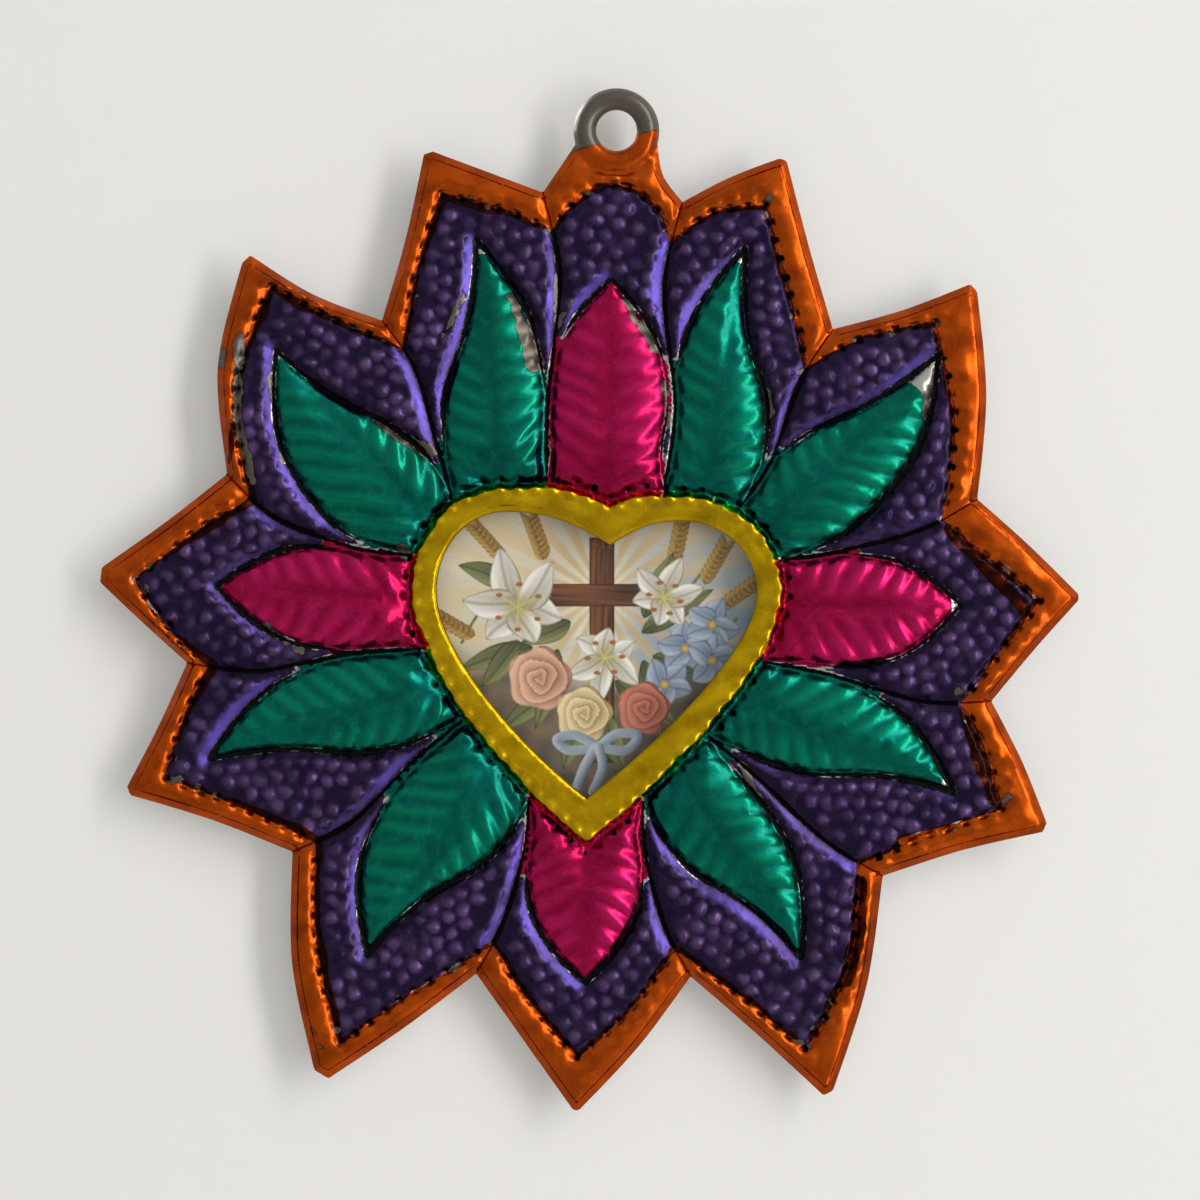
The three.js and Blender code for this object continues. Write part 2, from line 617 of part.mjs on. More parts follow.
// Moves the wall's two ends apart by half the seam gap each, along the wall
function openSeam(line) {
  const halfGap = SEAM_GAP / 2 + WALL_THICKNESS;
  const start = line[0].clone().add(line[1].clone().sub(line[0]).setLength(halfGap));
  const end = line.at(-1).clone().add(line.at(-2).clone().sub(line.at(-1)).setLength(halfGap));
  return [start, ...line.slice(1, -1), end];
}

// A solid with one section all along a stretch of the wall. Each point of the section is a distance outwards
// from the wall's inner face and a height behind the border's plane, listed clockwise with depth downwards.
function alongWall(line, sides, section) {
  const count = section.length;
  const points = line.flatMap((point, k) =>
    section.map(([outwards, depth]) => raise(point.clone().addScaledVector(sides[k], outwards), -depth)),
  );
  const index = [];
  for (let k = 0; k + 1 < line.length; k += 1) {
    for (let s = 0; s < count; s += 1) {
      const [a, b] = [k * count + s, k * count + ((s + 1) % count)];
      index.push(a, b + count, b, a, a + count, b + count);
    }
  }
  const outline = section.map(([outwards, depth]) => new THREE.Vector2(outwards, depth));
  const caps = THREE.ShapeUtils.triangulateShape(outline, []);
  const end = (line.length - 1) * count;
  for (const [a, b, c] of caps) index.push(a, b, c, a + end, c + end, b + end);
  return new THREE.BufferGeometry().setFromPoints(points).setIndex(index);
}

// A solid along one facet of the wall
function alongFacet(facet, section) {
  return alongWall(wall.slice(facet, facet + 2), wallSides.slice(facet, facet + 2), section);
}

function nicheWall() {
  return alongWall(openSeam(wall), wallSides, [
    [0, bandBack],
    [WALL_THICKNESS, bandBack],
    [WALL_THICKNESS, wallRear],
    [0, wallRear],
  ]);
}

// A flat plan stood upright as a plate between two depths
function uprightPlate(outline, front, rear) {
  const geometry = new THREE.ExtrudeGeometry(new THREE.Shape(outline), {
    depth: rear - front,
    bevelEnabled: false,
    steps: 1,
  });
  const mesh = new THREE.Mesh(geometry);
  mesh.rotation.x = Math.PI / 2;
  mesh.position.y = rear;
  return mesh;
}

// A flat heart that fits inside or on the wall, whose edge is a margin outside the wall's inner face
function flatHeart(margin, front, rear) {
  const outline = wall.slice(0, -1).map((point, k) => point.clone().addScaledVector(wallSides[k], margin));
  outline[0] = wall[0].clone();
  outline[0].y -= margin / Math.cos(THREE.MathUtils.degToRad(WINDOW.flankSlope));
  return uprightPlate(outline, front, rear);
}

// A fillet of solder in the corner between the wall and the back of the band, along one facet of the wall
function wallSolder(facet) {
  return alongFacet(facet, [
    [WALL_THICKNESS, bandBack],
    [WALL_THICKNESS + filletReach, bandBack],
    [WALL_THICKNESS + FILLET_FULLNESS * filletReach, bandBack + FILLET_FULLNESS * SOLDER_LEG],
    [WALL_THICKNESS, bandBack + SOLDER_LEG],
  ]);
}

// A strap soldered to the outside of the wall and folded over the back plate
function strap(facet) {
  const outside = WALL_THICKNESS + STRAP_THICKNESS;
  const folded = plateRear + STRAP_THICKNESS;
  return alongFacet(facet, [
    [WALL_THICKNESS, wallRear - STRAP_LEG],
    [outside, wallRear - STRAP_LEG],
    [outside, folded],
    [-STRAP_FOOT, folded],
    [-STRAP_FOOT, plateRear],
    [WALL_THICKNESS, plateRear],
  ]);
}

// The dab of solder under a strap's end
function strapSolder(facet) {
  const strapEnd = wallRear - STRAP_LEG;
  return alongFacet(facet, [
    [WALL_THICKNESS, strapEnd - DAB_EDGES[0] * SOLDER_LEG],
    [WALL_THICKNESS + STRAP_THICKNESS, strapEnd - DAB_EDGES[1] * SOLDER_LEG],
    [WALL_THICKNESS + STRAP_THICKNESS, strapEnd],
    [WALL_THICKNESS, strapEnd],
  ]);
}

// Solder over the wall's seam, a saddle across the heart's tip
function seamSolder() {
  const opened = openSeam(wall);
  const ends = [opened[0], opened.at(-1)];
  const sides = [wallSides[0], wallSides.at(-1)];
  const away = [wall[1].clone().sub(wall[0]), wall.at(-2).clone().sub(wall.at(-1))];
  const inner = ends.map((end, k) => end.clone().addScaledVector(sides[k], WALL_THICKNESS));
  const outer = inner.map((end, k) => end.clone().add(away[k].setLength(SOLDER_LEG)));
  const bottom = inner[0].clone().lerp(inner[1], 0.5);
  bottom.y -= SOLDER_LEG;
  return uprightPlate([outer[0], inner[0], inner[1], outer[1], bottom], bandBack, wallRear);
}

const niche = new THREE.Group();
niche.position.set(-ringMiddle.x, 0, -ringMiddle.y);

function add(name, shape, finish) {
  const mesh = shape.isMesh ? shape : new THREE.Mesh(shape);
  mesh.name = name;
  mesh.material = new THREE.MeshStandardMaterial(finish);
  niche.add(mesh);
}

add("face_sheet", faceSheet(), LACQUERED_TIN);
add("niche_wall", nicheWall(), BARE_TIN);
add("back_plate", flatHeart(WALL_THICKNESS, wallRear, plateRear), BARE_TIN);
add("picture_card", flatHeart(-CARD_CLEARANCE, cardFront, boardFront), PRINTED_CARD);
add("backing_board", flatHeart(-CARD_CLEARANCE, boardFront, wallRear), GREY_BOARD);
add("seam_solder", seamSolder(), SOLDER);
SOLDER_FACETS.forEach((facet, k) => add(`wall_solder_${k + 1}`, wallSolder(facet), SOLDER));
STRAP_FACETS.forEach((facet, k) => {
  add(`strap_${k + 1}`, strap(facet), BARE_TIN);
  add(`strap_solder_${k + 1}`, strapSolder(facet), SOLDER);
});

export default niche;
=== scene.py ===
import math

import bpy
import numpy as np
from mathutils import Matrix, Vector
from mathutils.geometry import delaunay_2d_cdt
from mathutils.kdtree import KDTree


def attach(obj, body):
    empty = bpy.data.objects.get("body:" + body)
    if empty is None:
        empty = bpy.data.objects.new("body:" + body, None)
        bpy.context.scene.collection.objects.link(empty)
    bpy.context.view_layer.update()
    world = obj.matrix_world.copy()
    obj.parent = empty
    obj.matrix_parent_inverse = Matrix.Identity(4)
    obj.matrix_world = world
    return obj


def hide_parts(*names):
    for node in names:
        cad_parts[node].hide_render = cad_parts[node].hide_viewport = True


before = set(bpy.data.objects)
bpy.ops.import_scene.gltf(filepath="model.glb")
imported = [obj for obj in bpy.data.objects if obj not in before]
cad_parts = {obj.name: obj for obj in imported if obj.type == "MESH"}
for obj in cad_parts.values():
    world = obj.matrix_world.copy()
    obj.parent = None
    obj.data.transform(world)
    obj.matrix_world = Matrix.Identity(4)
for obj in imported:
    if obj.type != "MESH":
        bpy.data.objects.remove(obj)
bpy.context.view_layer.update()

# Face sheet: one piece of thin tinplate, cut out with snips and drawn upon with a blunt stylus. The leaves,
# bumps and border are raised from behind with round punches, and the pits are punched from the front. It is
# then brushed with see-through coloured lacquers, which overlap here and miss the bare tin there.

SHEET_THICKNESS = 0.3
NOTCH_REACH = 65
PETAL_RISE = 18.5
BORDER_AT_TIP = 8.5
BORDER_AT_NOTCH = 5.5
LEAF_GAP = 0.5
GAP_OPENS_OVER = 4
WINDOW_NOTCH = (2.9, 14.3)
WINDOW_TIP = (-1, -27.8)
WINDOW_SIDES = {1: (27.3, 18.3), -1: (26, 19.8)}
SIDE_HEIGHT = 6.5
LOBE_SPREAD = 14.6
SHOULDER_SLOPE = 31
FLANK_SLOPE = 38
BAND_WIDTH = 4.6
BAND_AT_NOTCH = 1.4
BAND_AT_TIP = 2.2
RING_RADIUS = 7.15
RING_HOLE_RADIUS = 3.4
RING_DIRECTION = 2.7
NECK_HALF_ANGLE = 72
LINE_STEP = 0.25

# Petals clockwise from the one with the ring: direction of the tip in degrees from straight up, reach and
# border width added to the flower's own, width of the clipped tip, swells of the edge and of the bead
# line, along which the pits are punched
PETALS = [
    (357, 0, 0.6, 0, (0, -1.2), (0.4, 0.6)),
    (22, 1.3, -0.2, 1.2, (0.5, -0.2), (1.8, 0.1)),
    (48, 2, 0.4, 1.7, (-0.6, 1.5), (1.5, 2.6)),
    (86, -2.3, -1.8, 1, (0.3, -0.2), (0, -0.1)),
    (113.5, -1.3, -0.4, 1.6, (0.5, -0.6), (0.9, -0.3)),
    (153, 3, 0, 1.8, (1.5, -0.2), (3, -0.6)),
    (182, -3.5, 0.6, 1, (0.8, 0), (1.1, 0.8)),
    (211.5, 3.2, -2.3, 2.8, (0.4, 1.9), (-0.7, 1.7)),
    (251, -1.6, -1.7, 1.5, (-0.6, -0.3), (-0.6, 0.7)),
    (276.5, -0.9, -2.4, 2.5, (0.1, -0.3), (1, 0.5)),
    (317, 1.3, -2.2, 1.9, (2.8, -1.2), (4, -0.6)),
    (341, 0.8, -1.2, 1.6, (-0.5, 0), (0.8, 0.7)),
]
# Leaves: direction of the tip, how far it stops short of the bead line, widths left and right of the
# midrib, the side that is drawn in, how far the paint stops short of the tip, and the sweep of its veins
LEAVES = [
    (3, 15.8, 10, 10, "", 0.4, 0.5),
    (21.7, 8, 8, 9.5, "right", 2.4, 0.55),
    (51.4, 3.1, 7.5, 10.3, "left", 6.4, 0.6),
    (86, 13.1, 9, 9.8, "", 1.5, 0.6),
    (114, 8.4, 10, 8, "right", 2.4, 0.6),
    (147.5, 13.6, 8.8, 8.6, "right", 0.4, 0.6),
    (181.3, 12.4, 9.6, 9.9, "", 0.6, 0.5),
    (215, 15, 9.4, 11.3, "left", 0.5, 0.6),
    (251.6, 8, 8, 9.7, "left", 0.5, 0.6),
    (276.8, 13.4, 9, 8.3, "", 0.5, 0.6),
    (311.5, 8.1, 12, 7.5, "right", 1.4, 1.1),
    (343.4, 9.2, 9, 9, "left", 2.2, 0.5),
]
MAGENTA_LEAVES = (0, 3, 6, 9)
# Creases between petals: direction of the root on the band, direction of the notch, reach and border width
# added to the flower's own, and how far the crease bends to the left at each of two places along it
SWAY_PLACES = (0.3, 0.7)
CREASES = [
    (342.3, 353.5, 8.6, 1.3, (-0.4, -2.6)),
    (27.2, 11.8, 8.1, 1.4, (-0.9, 2.1)),
    (50.3, 38.5, -0.7, 2.2, (-1, 0.8)),
    (69.3, 71.1, 2.8, 1.5, (-1.6, -2.1)),
    (100.2, 100, 2.5, -0.2, (-0.2, -2)),
    (132.7, 130.2, -1.7, -1, (-0.3, -1.4)),
    (163.5, 164.2, -5.1, 0, (-2, -2)),
    (201.6, 198.8, -4.6, 0.4, (1.9, 1.9)),
    (235.5, 233.7, -2.8, -0.9, (0.3, 2.1)),
    (264, 265.5, 2.9, -1.5, (0, 2)),
    (292.9, 293.2, 1.4, 0.3, (2.8, 3.4)),
    (312.9, 325.8, -2.4, 0.4, (-1, -2.2)),
]
# A leaf's side: shares of the way from its root to its tip, and how much of its width it has there
ROUND_SIDE = [(0.2, 0.92), (0.42, 1), (0.66, 0.86), (0.85, 0.48)]
HOLLOW_SIDE = [(0.2, 0.95), (0.42, 0.82), (0.66, 0.34), (0.85, 0.1)]


def polar(reach, direction):
    """A point at a reach and a direction, in degrees clockwise from straight up."""
    angle = math.radians(direction)
    return np.array([reach * math.sin(angle), reach * math.cos(angle)])


def closed(line):
    """A line with its first point set once more at its end."""
    return np.vstack([line, line[:1]])


def travelled(line):
    """How far along a line each of its points lies."""
    return np.concatenate([[0], np.cumsum(np.linalg.norm(np.diff(line, axis=0), axis=1))])


def points_at(line, distances):
    """Points at some distances along a line."""
    return np.column_stack([np.interp(distances, travelled(line), line[:, k]) for k in (0, 1)])


def evenly(line, step=LINE_STEP):
    """The same line with its points an even step apart."""
    line = np.asarray(line, float)
    length = travelled(line)[-1]
    return points_at(line, np.linspace(0, length, max(1, round(length / step)) + 1))


def smooth_through(points, step=LINE_STEP):
    """A smooth line through points."""
    points = np.array(points, float)
    ends = np.vstack([points[:1], points, points[-1:]])
    t = np.linspace(0, 1, 50, endpoint=False)[:, None]
    parts = []
    for k in range(len(points) - 1):
        before, start, end, after = ends[k : k + 4]
        leaving, arriving = (end - before) / 2, (after - start) / 2
        cube = 2 * start - 2 * end + leaving + arriving
        square = -3 * start + 3 * end - 2 * leaving - arriving
        parts.append(cube * t**3 + square * t**2 + leaving * t + start)
    return evenly(np.vstack([*parts, points[-1:]]), step)


def left_of(start, end):
    """The direction to the left of the way from start to end."""
    way = (end - start) / np.linalg.norm(end - start)
    return np.array([-way[1], way[0]])


def sideways(ways):
    """The directions to the left of many ways."""
    return np.column_stack([-ways[:, 1], ways[:, 0]]) / np.linalg.norm(ways, axis=1)[:, None]


def bent(start, end, offsets):
    """A smooth line that leaves its chord by the given amounts to the left, at the given places."""
    side = left_of(start, end)
    return smooth_through([start, *[start + (end - start) * at + side * away for at, away in offsets], end])


# How far the handles of the heart's curves reach: along the shoulder, round the lobe, down the side and up
# the flank
SHOULDER_PULL = 0.4
LOBE_PULL = 0.56
SIDE_PULL = 0.27
FLANK_PULL = 0.36


def heart_line(margin, at_notch=0, at_tip=0):
    """The window's outline grown by a margin, clockwise from its notch and not closed."""
    notch = np.array(WINDOW_NOTCH) + (0, margin / math.cos(math.radians(SHOULDER_SLOPE)) + at_notch)
    tip = np.array(WINDOW_TIP) - (0, margin / math.cos(math.radians(FLANK_SLOPE)) + at_tip)
    t = np.linspace(0, 1, 120)[:, None]
    halves = []
    for sign, (side_reach, top_height) in WINDOW_SIDES.items():
        side = np.array([sign * (side_reach + margin), SIDE_HEIGHT])
        top = np.array([sign * LOBE_SPREAD, top_height + margin])
        shoulder = SHOULDER_PULL * abs(top[0] - notch[0])
        wide, high = LOBE_PULL * abs(side[0] - top[0]), LOBE_PULL * (top[1] - side[1])
        drop = side[1] - tip[1]
        flank = FLANK_PULL * drop
        rise = (sign * shoulder, shoulder * math.tan(math.radians(SHOULDER_SLOPE)))
        climb = (sign * flank, flank * math.tan(math.radians(FLANK_SLOPE)))
        stretches = [
            (notch, notch + rise, top - (sign * shoulder, 0), top),
            (top, top + (sign * wide, 0), side + (0, high), side),
            (side, side - (0, SIDE_PULL * drop), tip + climb, tip),
        ]
        curves = [(1 - t) ** 3 * a + 3 * (1 - t) ** 2 * t * b + 3 * (1 - t) * t**2 * c + t**3 * d
                  for a, b, c, d in stretches]
        halves.append(evenly(np.vstack(curves)))
    return np.vstack([halves[0], halves[1][::-1][1:-1]])


def towards(line, direction):
    """The number of the point on a closed line that lies in a direction from the middle of the flower."""
    return int(np.argmax(line @ polar(1, direction) / np.linalg.norm(line, axis=1)))


def keep_clear(side, crease, sign):
    """Keeps a leaf's side clear of the crease beside it, by a gap that opens from the root."""
    inwards = -sign * sideways(np.gradient(crease, axis=0))
    for k in range(1, int(0.8 * len(side))):
        apart = side[k] - crease
        near = np.argmin((apart**2).sum(1))
        room, wanted = apart[near] @ inwards[near], LEAF_GAP * min(1, k * LINE_STEP / GAP_OPENS_OVER)
        if room < wanted:
            side[k] += inwards[near] * (wanted - room)
    return side


def round_ring(radius, angles):
    """Points round the middle of the hanging ring, clockwise from straight up."""
    return radius * np.column_stack([np.sin(angles), np.cos(angles)]) + ring_middle


flower_reach = NOTCH_REACH + PETAL_RISE
ring_middle = polar(flower_reach, RING_DIRECTION)
window_edge = heart_line(0)
band_edge = heart_line(BAND_WIDTH, BAND_AT_NOTCH, BAND_AT_TIP)

crease_lines = []
for root, direction, reach, border, sway in CREASES:
    start = band_edge[towards(band_edge, root)]
    crease = bent(start, polar(NOTCH_REACH + reach, direction), list(zip(SWAY_PLACES, sway)))
    corner = len(crease) - 1 - round((BORDER_AT_NOTCH + border) / LINE_STEP)
    crease_lines.append((crease[: corner + 1], crease[corner:]))

leaf_lines, leaf_axes, bead_lines, edge_lines = [], [], [], []
for index, (direction, reach, bead, cut, edge_swell, bead_swell) in enumerate(PETALS):
    leaf_direction, short, left, right, hollow, _, _ = LEAVES[index]
    before, after = crease_lines[index], crease_lines[(index + 1) % len(PETALS)]
    bead_tip = polar(flower_reach + reach - BORDER_AT_TIP - bead, direction)
    if index == 0:
        bead_tip = polar(flower_reach - BORDER_AT_TIP - bead, RING_DIRECTION)
        share = np.linspace(-1, 1, 25)[:, None]
        angles = np.radians(NECK_HALF_ANGLE) * share
        clipped = RING_RADIUS * np.hstack([np.sin(angles), -np.cos(angles)]) + ring_middle
        arch = bead_tip + np.hstack([5 * share, -2 * share**2])
    else:
        middle, across = polar(flower_reach + reach, direction), polar(cut / 2, direction + 90)
        clipped = np.array([middle - across, middle + across])
        arch = np.array([bead_tip, bead_tip])
    for lines, tip, start, end, swell in (
        (bead_lines, arch, before[0][-1], after[0][-1], bead_swell),
        (edge_lines, clipped, before[1][-1], after[1][-1], edge_swell),
    ):
        rising, falling = bent(start, tip[0], [(0.5, swell[0])]), bent(tip[-1], end, [(0.5, swell[1])])
        lines.append((rising, evenly(tip) if index == 0 or lines is edge_lines else tip[:1], falling))
    first, last = (towards(band_edge, CREASES[k % len(PETALS)][0]) for k in (index, index + 1))
    base = band_edge[np.arange(first, last + (len(band_edge) if last < first else 0) + 1) % len(band_edge)]
    root = (base[0] + base[-1]) / 2
    tip = polar(np.linalg.norm(bead_tip) - short, leaf_direction)
    sides = []
    for sign, width, foot, crease in ((1, left, base[0], before[0]), (-1, right, base[-1], after[0])):
        shape = HOLLOW_SIDE if hollow == ("left" if sign == 1 else "right") else ROUND_SIDE
        away = left_of(root, tip) * sign * width
        side = smooth_through([foot, *[root + (tip - root) * at + away * much for at, much in shape], tip])
        sides.append(keep_clear(side, crease, sign))
    leaf_lines.append((base, sides[0], sides[1]))
    leaf_axes.append((root, tip))

# The sheet's outline, clockwise from the notch before the ring's petal, round the ring and all the petals
ring_arc = round_ring(RING_RADIUS, np.radians(np.linspace(180 + NECK_HALF_ANGLE, 540 - NECK_HALF_ANGLE, 150)))
outline = [edge_lines[0][0], ring_arc, edge_lines[0][2]]
for petal in edge_lines[1:]:
    outline += petal
outline = np.vstack(outline)
outline = outline[np.linalg.norm(outline - np.roll(outline, 1, axis=0), axis=1) > 0.02]
bead_loop = np.vstack([part for petal in bead_lines for part in petal])
leaf_sides = [np.vstack([side, other[::-1]]) for _, side, other in leaf_lines]
leaf_loops = [np.vstack([sides, base[::-1]]) for sides, (base, _, _) in zip(leaf_sides, leaf_lines)]
hole_edge = round_ring(RING_HOLE_RADIUS, np.linspace(0, 2 * np.pi, 61)[:-1])


def tree_of(points):
    """A tree that finds the nearest of some points."""
    tree = KDTree(len(points))
    for k, (x, z) in enumerate(points):
        tree.insert((x, z, 0), k)
    tree.balance()
    return tree


class Lines:
    """Drawn lines that the distance of many points is measured from."""

    def __init__(self, lines):
        self.points = np.vstack(lines)
        self.line = np.concatenate([np.full(len(line), k) for k, line in enumerate(lines)])
        self.tree = tree_of(self.points)

    def measure(self, places):
        """Each place's distance to the nearest line, the number of that line and the nearest point on it."""
        near = np.array([self.tree.find((x, z, 0))[1] for x, z in places])
        least = np.linalg.norm(places - self.points[near], axis=1)
        for step in (-1, 1):
            other = np.clip(near + step, 0, len(self.points) - 1)
            along = self.points[other] - self.points[near]
            along[self.line[other] != self.line[near]] = 0
            length = np.maximum((along**2).sum(1), 1e-12)
            share = np.clip(((places - self.points[near]) * along).sum(1) / length, 0, 1)
            apart = places - self.points[near] - along * share[:, None]
            least = np.minimum(least, np.linalg.norm(apart, axis=1))
        return least, self.line[near], self.points[near]


def inside(places, loop):
    """Which places lie inside a closed line."""
    loop = np.asarray(loop)
    low, high = loop.min(0), loop.max(0)
    found = np.zeros(len(places), bool)
    close = np.flatnonzero(((places > low) & (places < high)).all(1))
    ends = np.roll(loop, -1, axis=0)
    for part in np.array_split(close, max(1, len(close) * len(loop) // 4_000_000)):
        x, z = places[part, :1], places[part, 1:]
        crosses = (loop[:, 1] > z) != (ends[:, 1] > z)
        rise = np.where(ends[:, 1] == loop[:, 1], 1e-12, ends[:, 1] - loop[:, 1])
        at = loop[:, 0] + (z - loop[:, 1]) / rise * (ends[:, 0] - loop[:, 0])
        found[part] = (crosses & (x < at)).sum(1) % 2 == 1
    return found


def in_any(places, loops):
    """Which places lie inside at least one of some closed lines."""
    return np.logical_or.reduce([inside(places, loop) for loop in loops])


def between(places, loops):
    """Which places lie inside the first of some closed lines and in none of the others."""
    return inside(places, loops[0]) & ~in_any(places, loops[1:])


def nearest(places, points):
    """Each place's distance to the nearest of some points, and the number of that point."""
    tree = tree_of(points)
    found = [tree.find((x, z, 0)) for x, z in places]
    return np.array([away for _, _, away in found]), np.array([k for _, k, _ in found])


def soft_step(value, low, high):
    """Nought below low and one above high, with a smooth rise between."""
    share = np.clip((value - low) / (high - low), 0, 1)
    return share * share * (3 - 2 * share)


def knob(away, radius):
    """The round top that a punch leaves: one in the middle and nought from its radius on."""
    return np.cos(np.pi / 2 * np.clip(away / radius, 0, 1))


def bell(away, width):
    """One at no distance, and next to nothing two widths away."""
    return np.exp(-((away / width) ** 2))


def waver(places, size, seed):
    """Smooth unevenness of handwork between -1 and 1, with swells about as wide as size."""
    dice = np.random.default_rng(seed)
    total = np.zeros(len(places))
    for _ in range(9):
        angle, wave, shift = dice.uniform(0, 2 * np.pi), dice.uniform(0.7, 1.5), dice.uniform(0, 2 * np.pi)
        way = np.array([math.cos(angle), math.sin(angle)]) * np.pi * wave / size
        total += np.sin(places @ way + shift)
    return total / 4.5


def astray(places, size, seed):
    """How far off its mark a hand sets each place, sideways and upwards."""
    return np.column_stack([waver(places, size, seed), waver(places, size, seed + 1)])


edge_measure, bead_measure, band_measure, window_measure = (
    Lines([closed(loop)]) for loop in (outline, bead_loop, band_edge, window_edge))
leaf_measure = Lines([closed(loop) for loop in leaf_loops])
leaf_side_measure = Lines(leaf_sides)
crease_measure = Lines([line for line, _ in crease_lines])
fold_measure = Lines([line for _, line in crease_lines])

# Pits punched from the front along the bead line and just outside the band, the lobes that the border is
# beaten up to beyond them, and dots raised along the band's edge between its own pits
PIT_SPACING = 3.1
PIT_ASTRAY = 0.25
LOBE_BEYOND_PIT = 1.5
BAND_PIT_SPACING = 3.05
PIT_OUTSIDE_BAND = 0.85
DOT_INSIDE_BAND = 0.75
pits = []
for rising, tip, falling in bead_lines:
    pits += [evenly(rising, PIT_SPACING)[1:-1], evenly(tip, PIT_SPACING), evenly(falling, PIT_SPACING)[1:-1]]
bead_pits = np.vstack(pits)
bead_lobes = bead_pits + LOBE_BEYOND_PIT * bead_pits / np.linalg.norm(bead_pits, axis=1)[:, None]
bead_pits = bead_pits + PIT_ASTRAY * astray(bead_pits, 5, 11)


def round_band(margin, shares):
    """Points round the band at a margin from the window, at shares of its length."""
    line = closed(heart_line(margin, BAND_AT_NOTCH * margin / BAND_WIDTH, BAND_AT_TIP * margin / BAND_WIDTH))
    return points_at(line, shares * travelled(line)[-1])


count = round(len(band_edge) * LINE_STEP / BAND_PIT_SPACING)
shares = np.arange(count) / count
band_dots = round_band(BAND_WIDTH - DOT_INSIDE_BAND, shares + 0.5 / count)
all_pits = np.vstack([bead_pits, round_band(BAND_WIDTH + PIT_OUTSIDE_BAND, shares)])

# Bumps of the field, punched from behind in rows that follow the leaves, and between the rows where one fits
BUMP_SPACING = 2.85
BUMP_HEIGHT = 0.75
BUMP_ASTRAY = 0.32
ROW_SPACING = 0.88
SMOOTH_LIP = 1.9
FROM_CREASE = 1.8
FROM_BEAD = 1.55
rows, reaches = [], []
for walk in leaf_sides:
    outward = sideways(np.gradient(walk, axis=0))
    for reach in SMOOTH_LIP + 0.3 + BUMP_SPACING * ROW_SPACING * np.arange(8):
        rows.append(walk + outward * reach)
        reaches.append(np.full(len(walk), reach))
grid = np.stack(np.meshgrid(*[np.arange(-90, 90, 0.8)] * 2), -1).reshape(-1, 2)
choices, reaches = np.vstack([*rows, grid]), np.concatenate([*reaches, np.zeros(len(grid))])
held = between(choices, [bead_loop, band_edge])
choices, reaches = choices[held], reaches[held]
from_leaf = leaf_measure.measure(choices)[0]
fits = ~in_any(choices, leaf_loops) & (from_leaf > SMOOTH_LIP - 0.1) & (from_leaf > reaches - 0.15)
fits &= (crease_measure.measure(choices)[0] > FROM_CREASE) & (bead_measure.measure(choices)[0] > FROM_BEAD)
bumps, taken = [], {}
for x, z in choices[fits]:
    column, row = int(x // BUMP_SPACING), int(z // BUMP_SPACING)
    around = [bump for i in (-1, 0, 1) for j in (-1, 0, 1) for bump in taken.get((column + i, row + j), [])]
    if all((x - a) ** 2 + (z - b) ** 2 > (0.93 * BUMP_SPACING) ** 2 for a, b in around):
        bumps.append((x, z))
        taken.setdefault((column, row), []).append((x, z))
bumps = np.array(bumps)
bumps += BUMP_ASTRAY * astray(bumps, 2.5, 1)
bump_heights = BUMP_HEIGHT * (0.8 + 0.45 * waver(bumps, 2.5, 3))

# A few bubbles that dried in the lacquer, away from the leaves' edges
dice = np.random.default_rng(7)
bubbles = dice.uniform(-75, 75, (150, 2))
bubbles = bubbles[between(bubbles, [bead_loop, band_edge])]
bubbles = bubbles[leaf_measure.measure(bubbles)[0] > 1.5]

# Spots that the lacquer missed: two ends and half the width of each
BARE_SPOTS = [
    ((-13.5, 55.6), (-11.5, 50.2), 0.8), ((-11.5, 50.2), (-9.6, 44.5), 1.3),
    ((-36, 35.1), (-32.5, 32.5), 0.8), ((-32.5, 32.5), (-27.2, 29.8), 1),
    ((-21.3, 56.1), (-25.2, 48.5), 0.4), ((-53.7, 42.6), (-51.7, 28.5), 0.3),
    ((-58.8, 49), (-59.2, 35.1), 0.8), ((-59.2, 35.1), (-56.5, 24.8), 0.65), ((-62, 46.3), (-62, 44.8), 0.8),
    ((5.7, 55.1), (7, 51.6), 0.6), ((8.3, 50.8), (10.5, 47.1), 0.8), ((11.9, 41.3), (12.3, 34.3), 0.35),
    ((29.3, 39.8), (29.7, 36.1), 0.5), ((55.9, 39.6), (55.4, 36), 0.6), ((57.8, 45.5), (56.2, 40.1), 0.4),
    ((-3.5, 54.8), (-6.1, 50.3), 0.25), ((-6.1, 65), (-6.1, 51.6), 0.25),
    ((24.9, -22.4), (27.9, -28.2), 0.5), ((-54.6, 1), (-48.8, -3.2), 0.5), ((-32.1, 13.8), (-30.8, 12.6), 0.8),
    ((29, 71.4), (29.4, 72.1), 0.4), ((-7.5, 66.2), (-7.5, 66.9), 0.3), ((34.2, 43.1), (34.9, 43.3), 0.35),
    ((-46.8, -66.2), (-46.5, -67), 0.4), ((-42.5, -66.5), (-42.2, -66.2), 0.3),
    ((-45.5, -69), (-45.2, -69.4), 0.3), ((60.6, -10.4), (61, -9.8), 0.4), ((57.5, 18.6), (57.7, 19.1), 0.35),
    ((-17.5, -49.4), (-17.2, -49), 0.3), ((34.4, -68.2), (35, -68.6), 0.4), ((68.4, -28.3), (69, -27.7), 0.45),
]
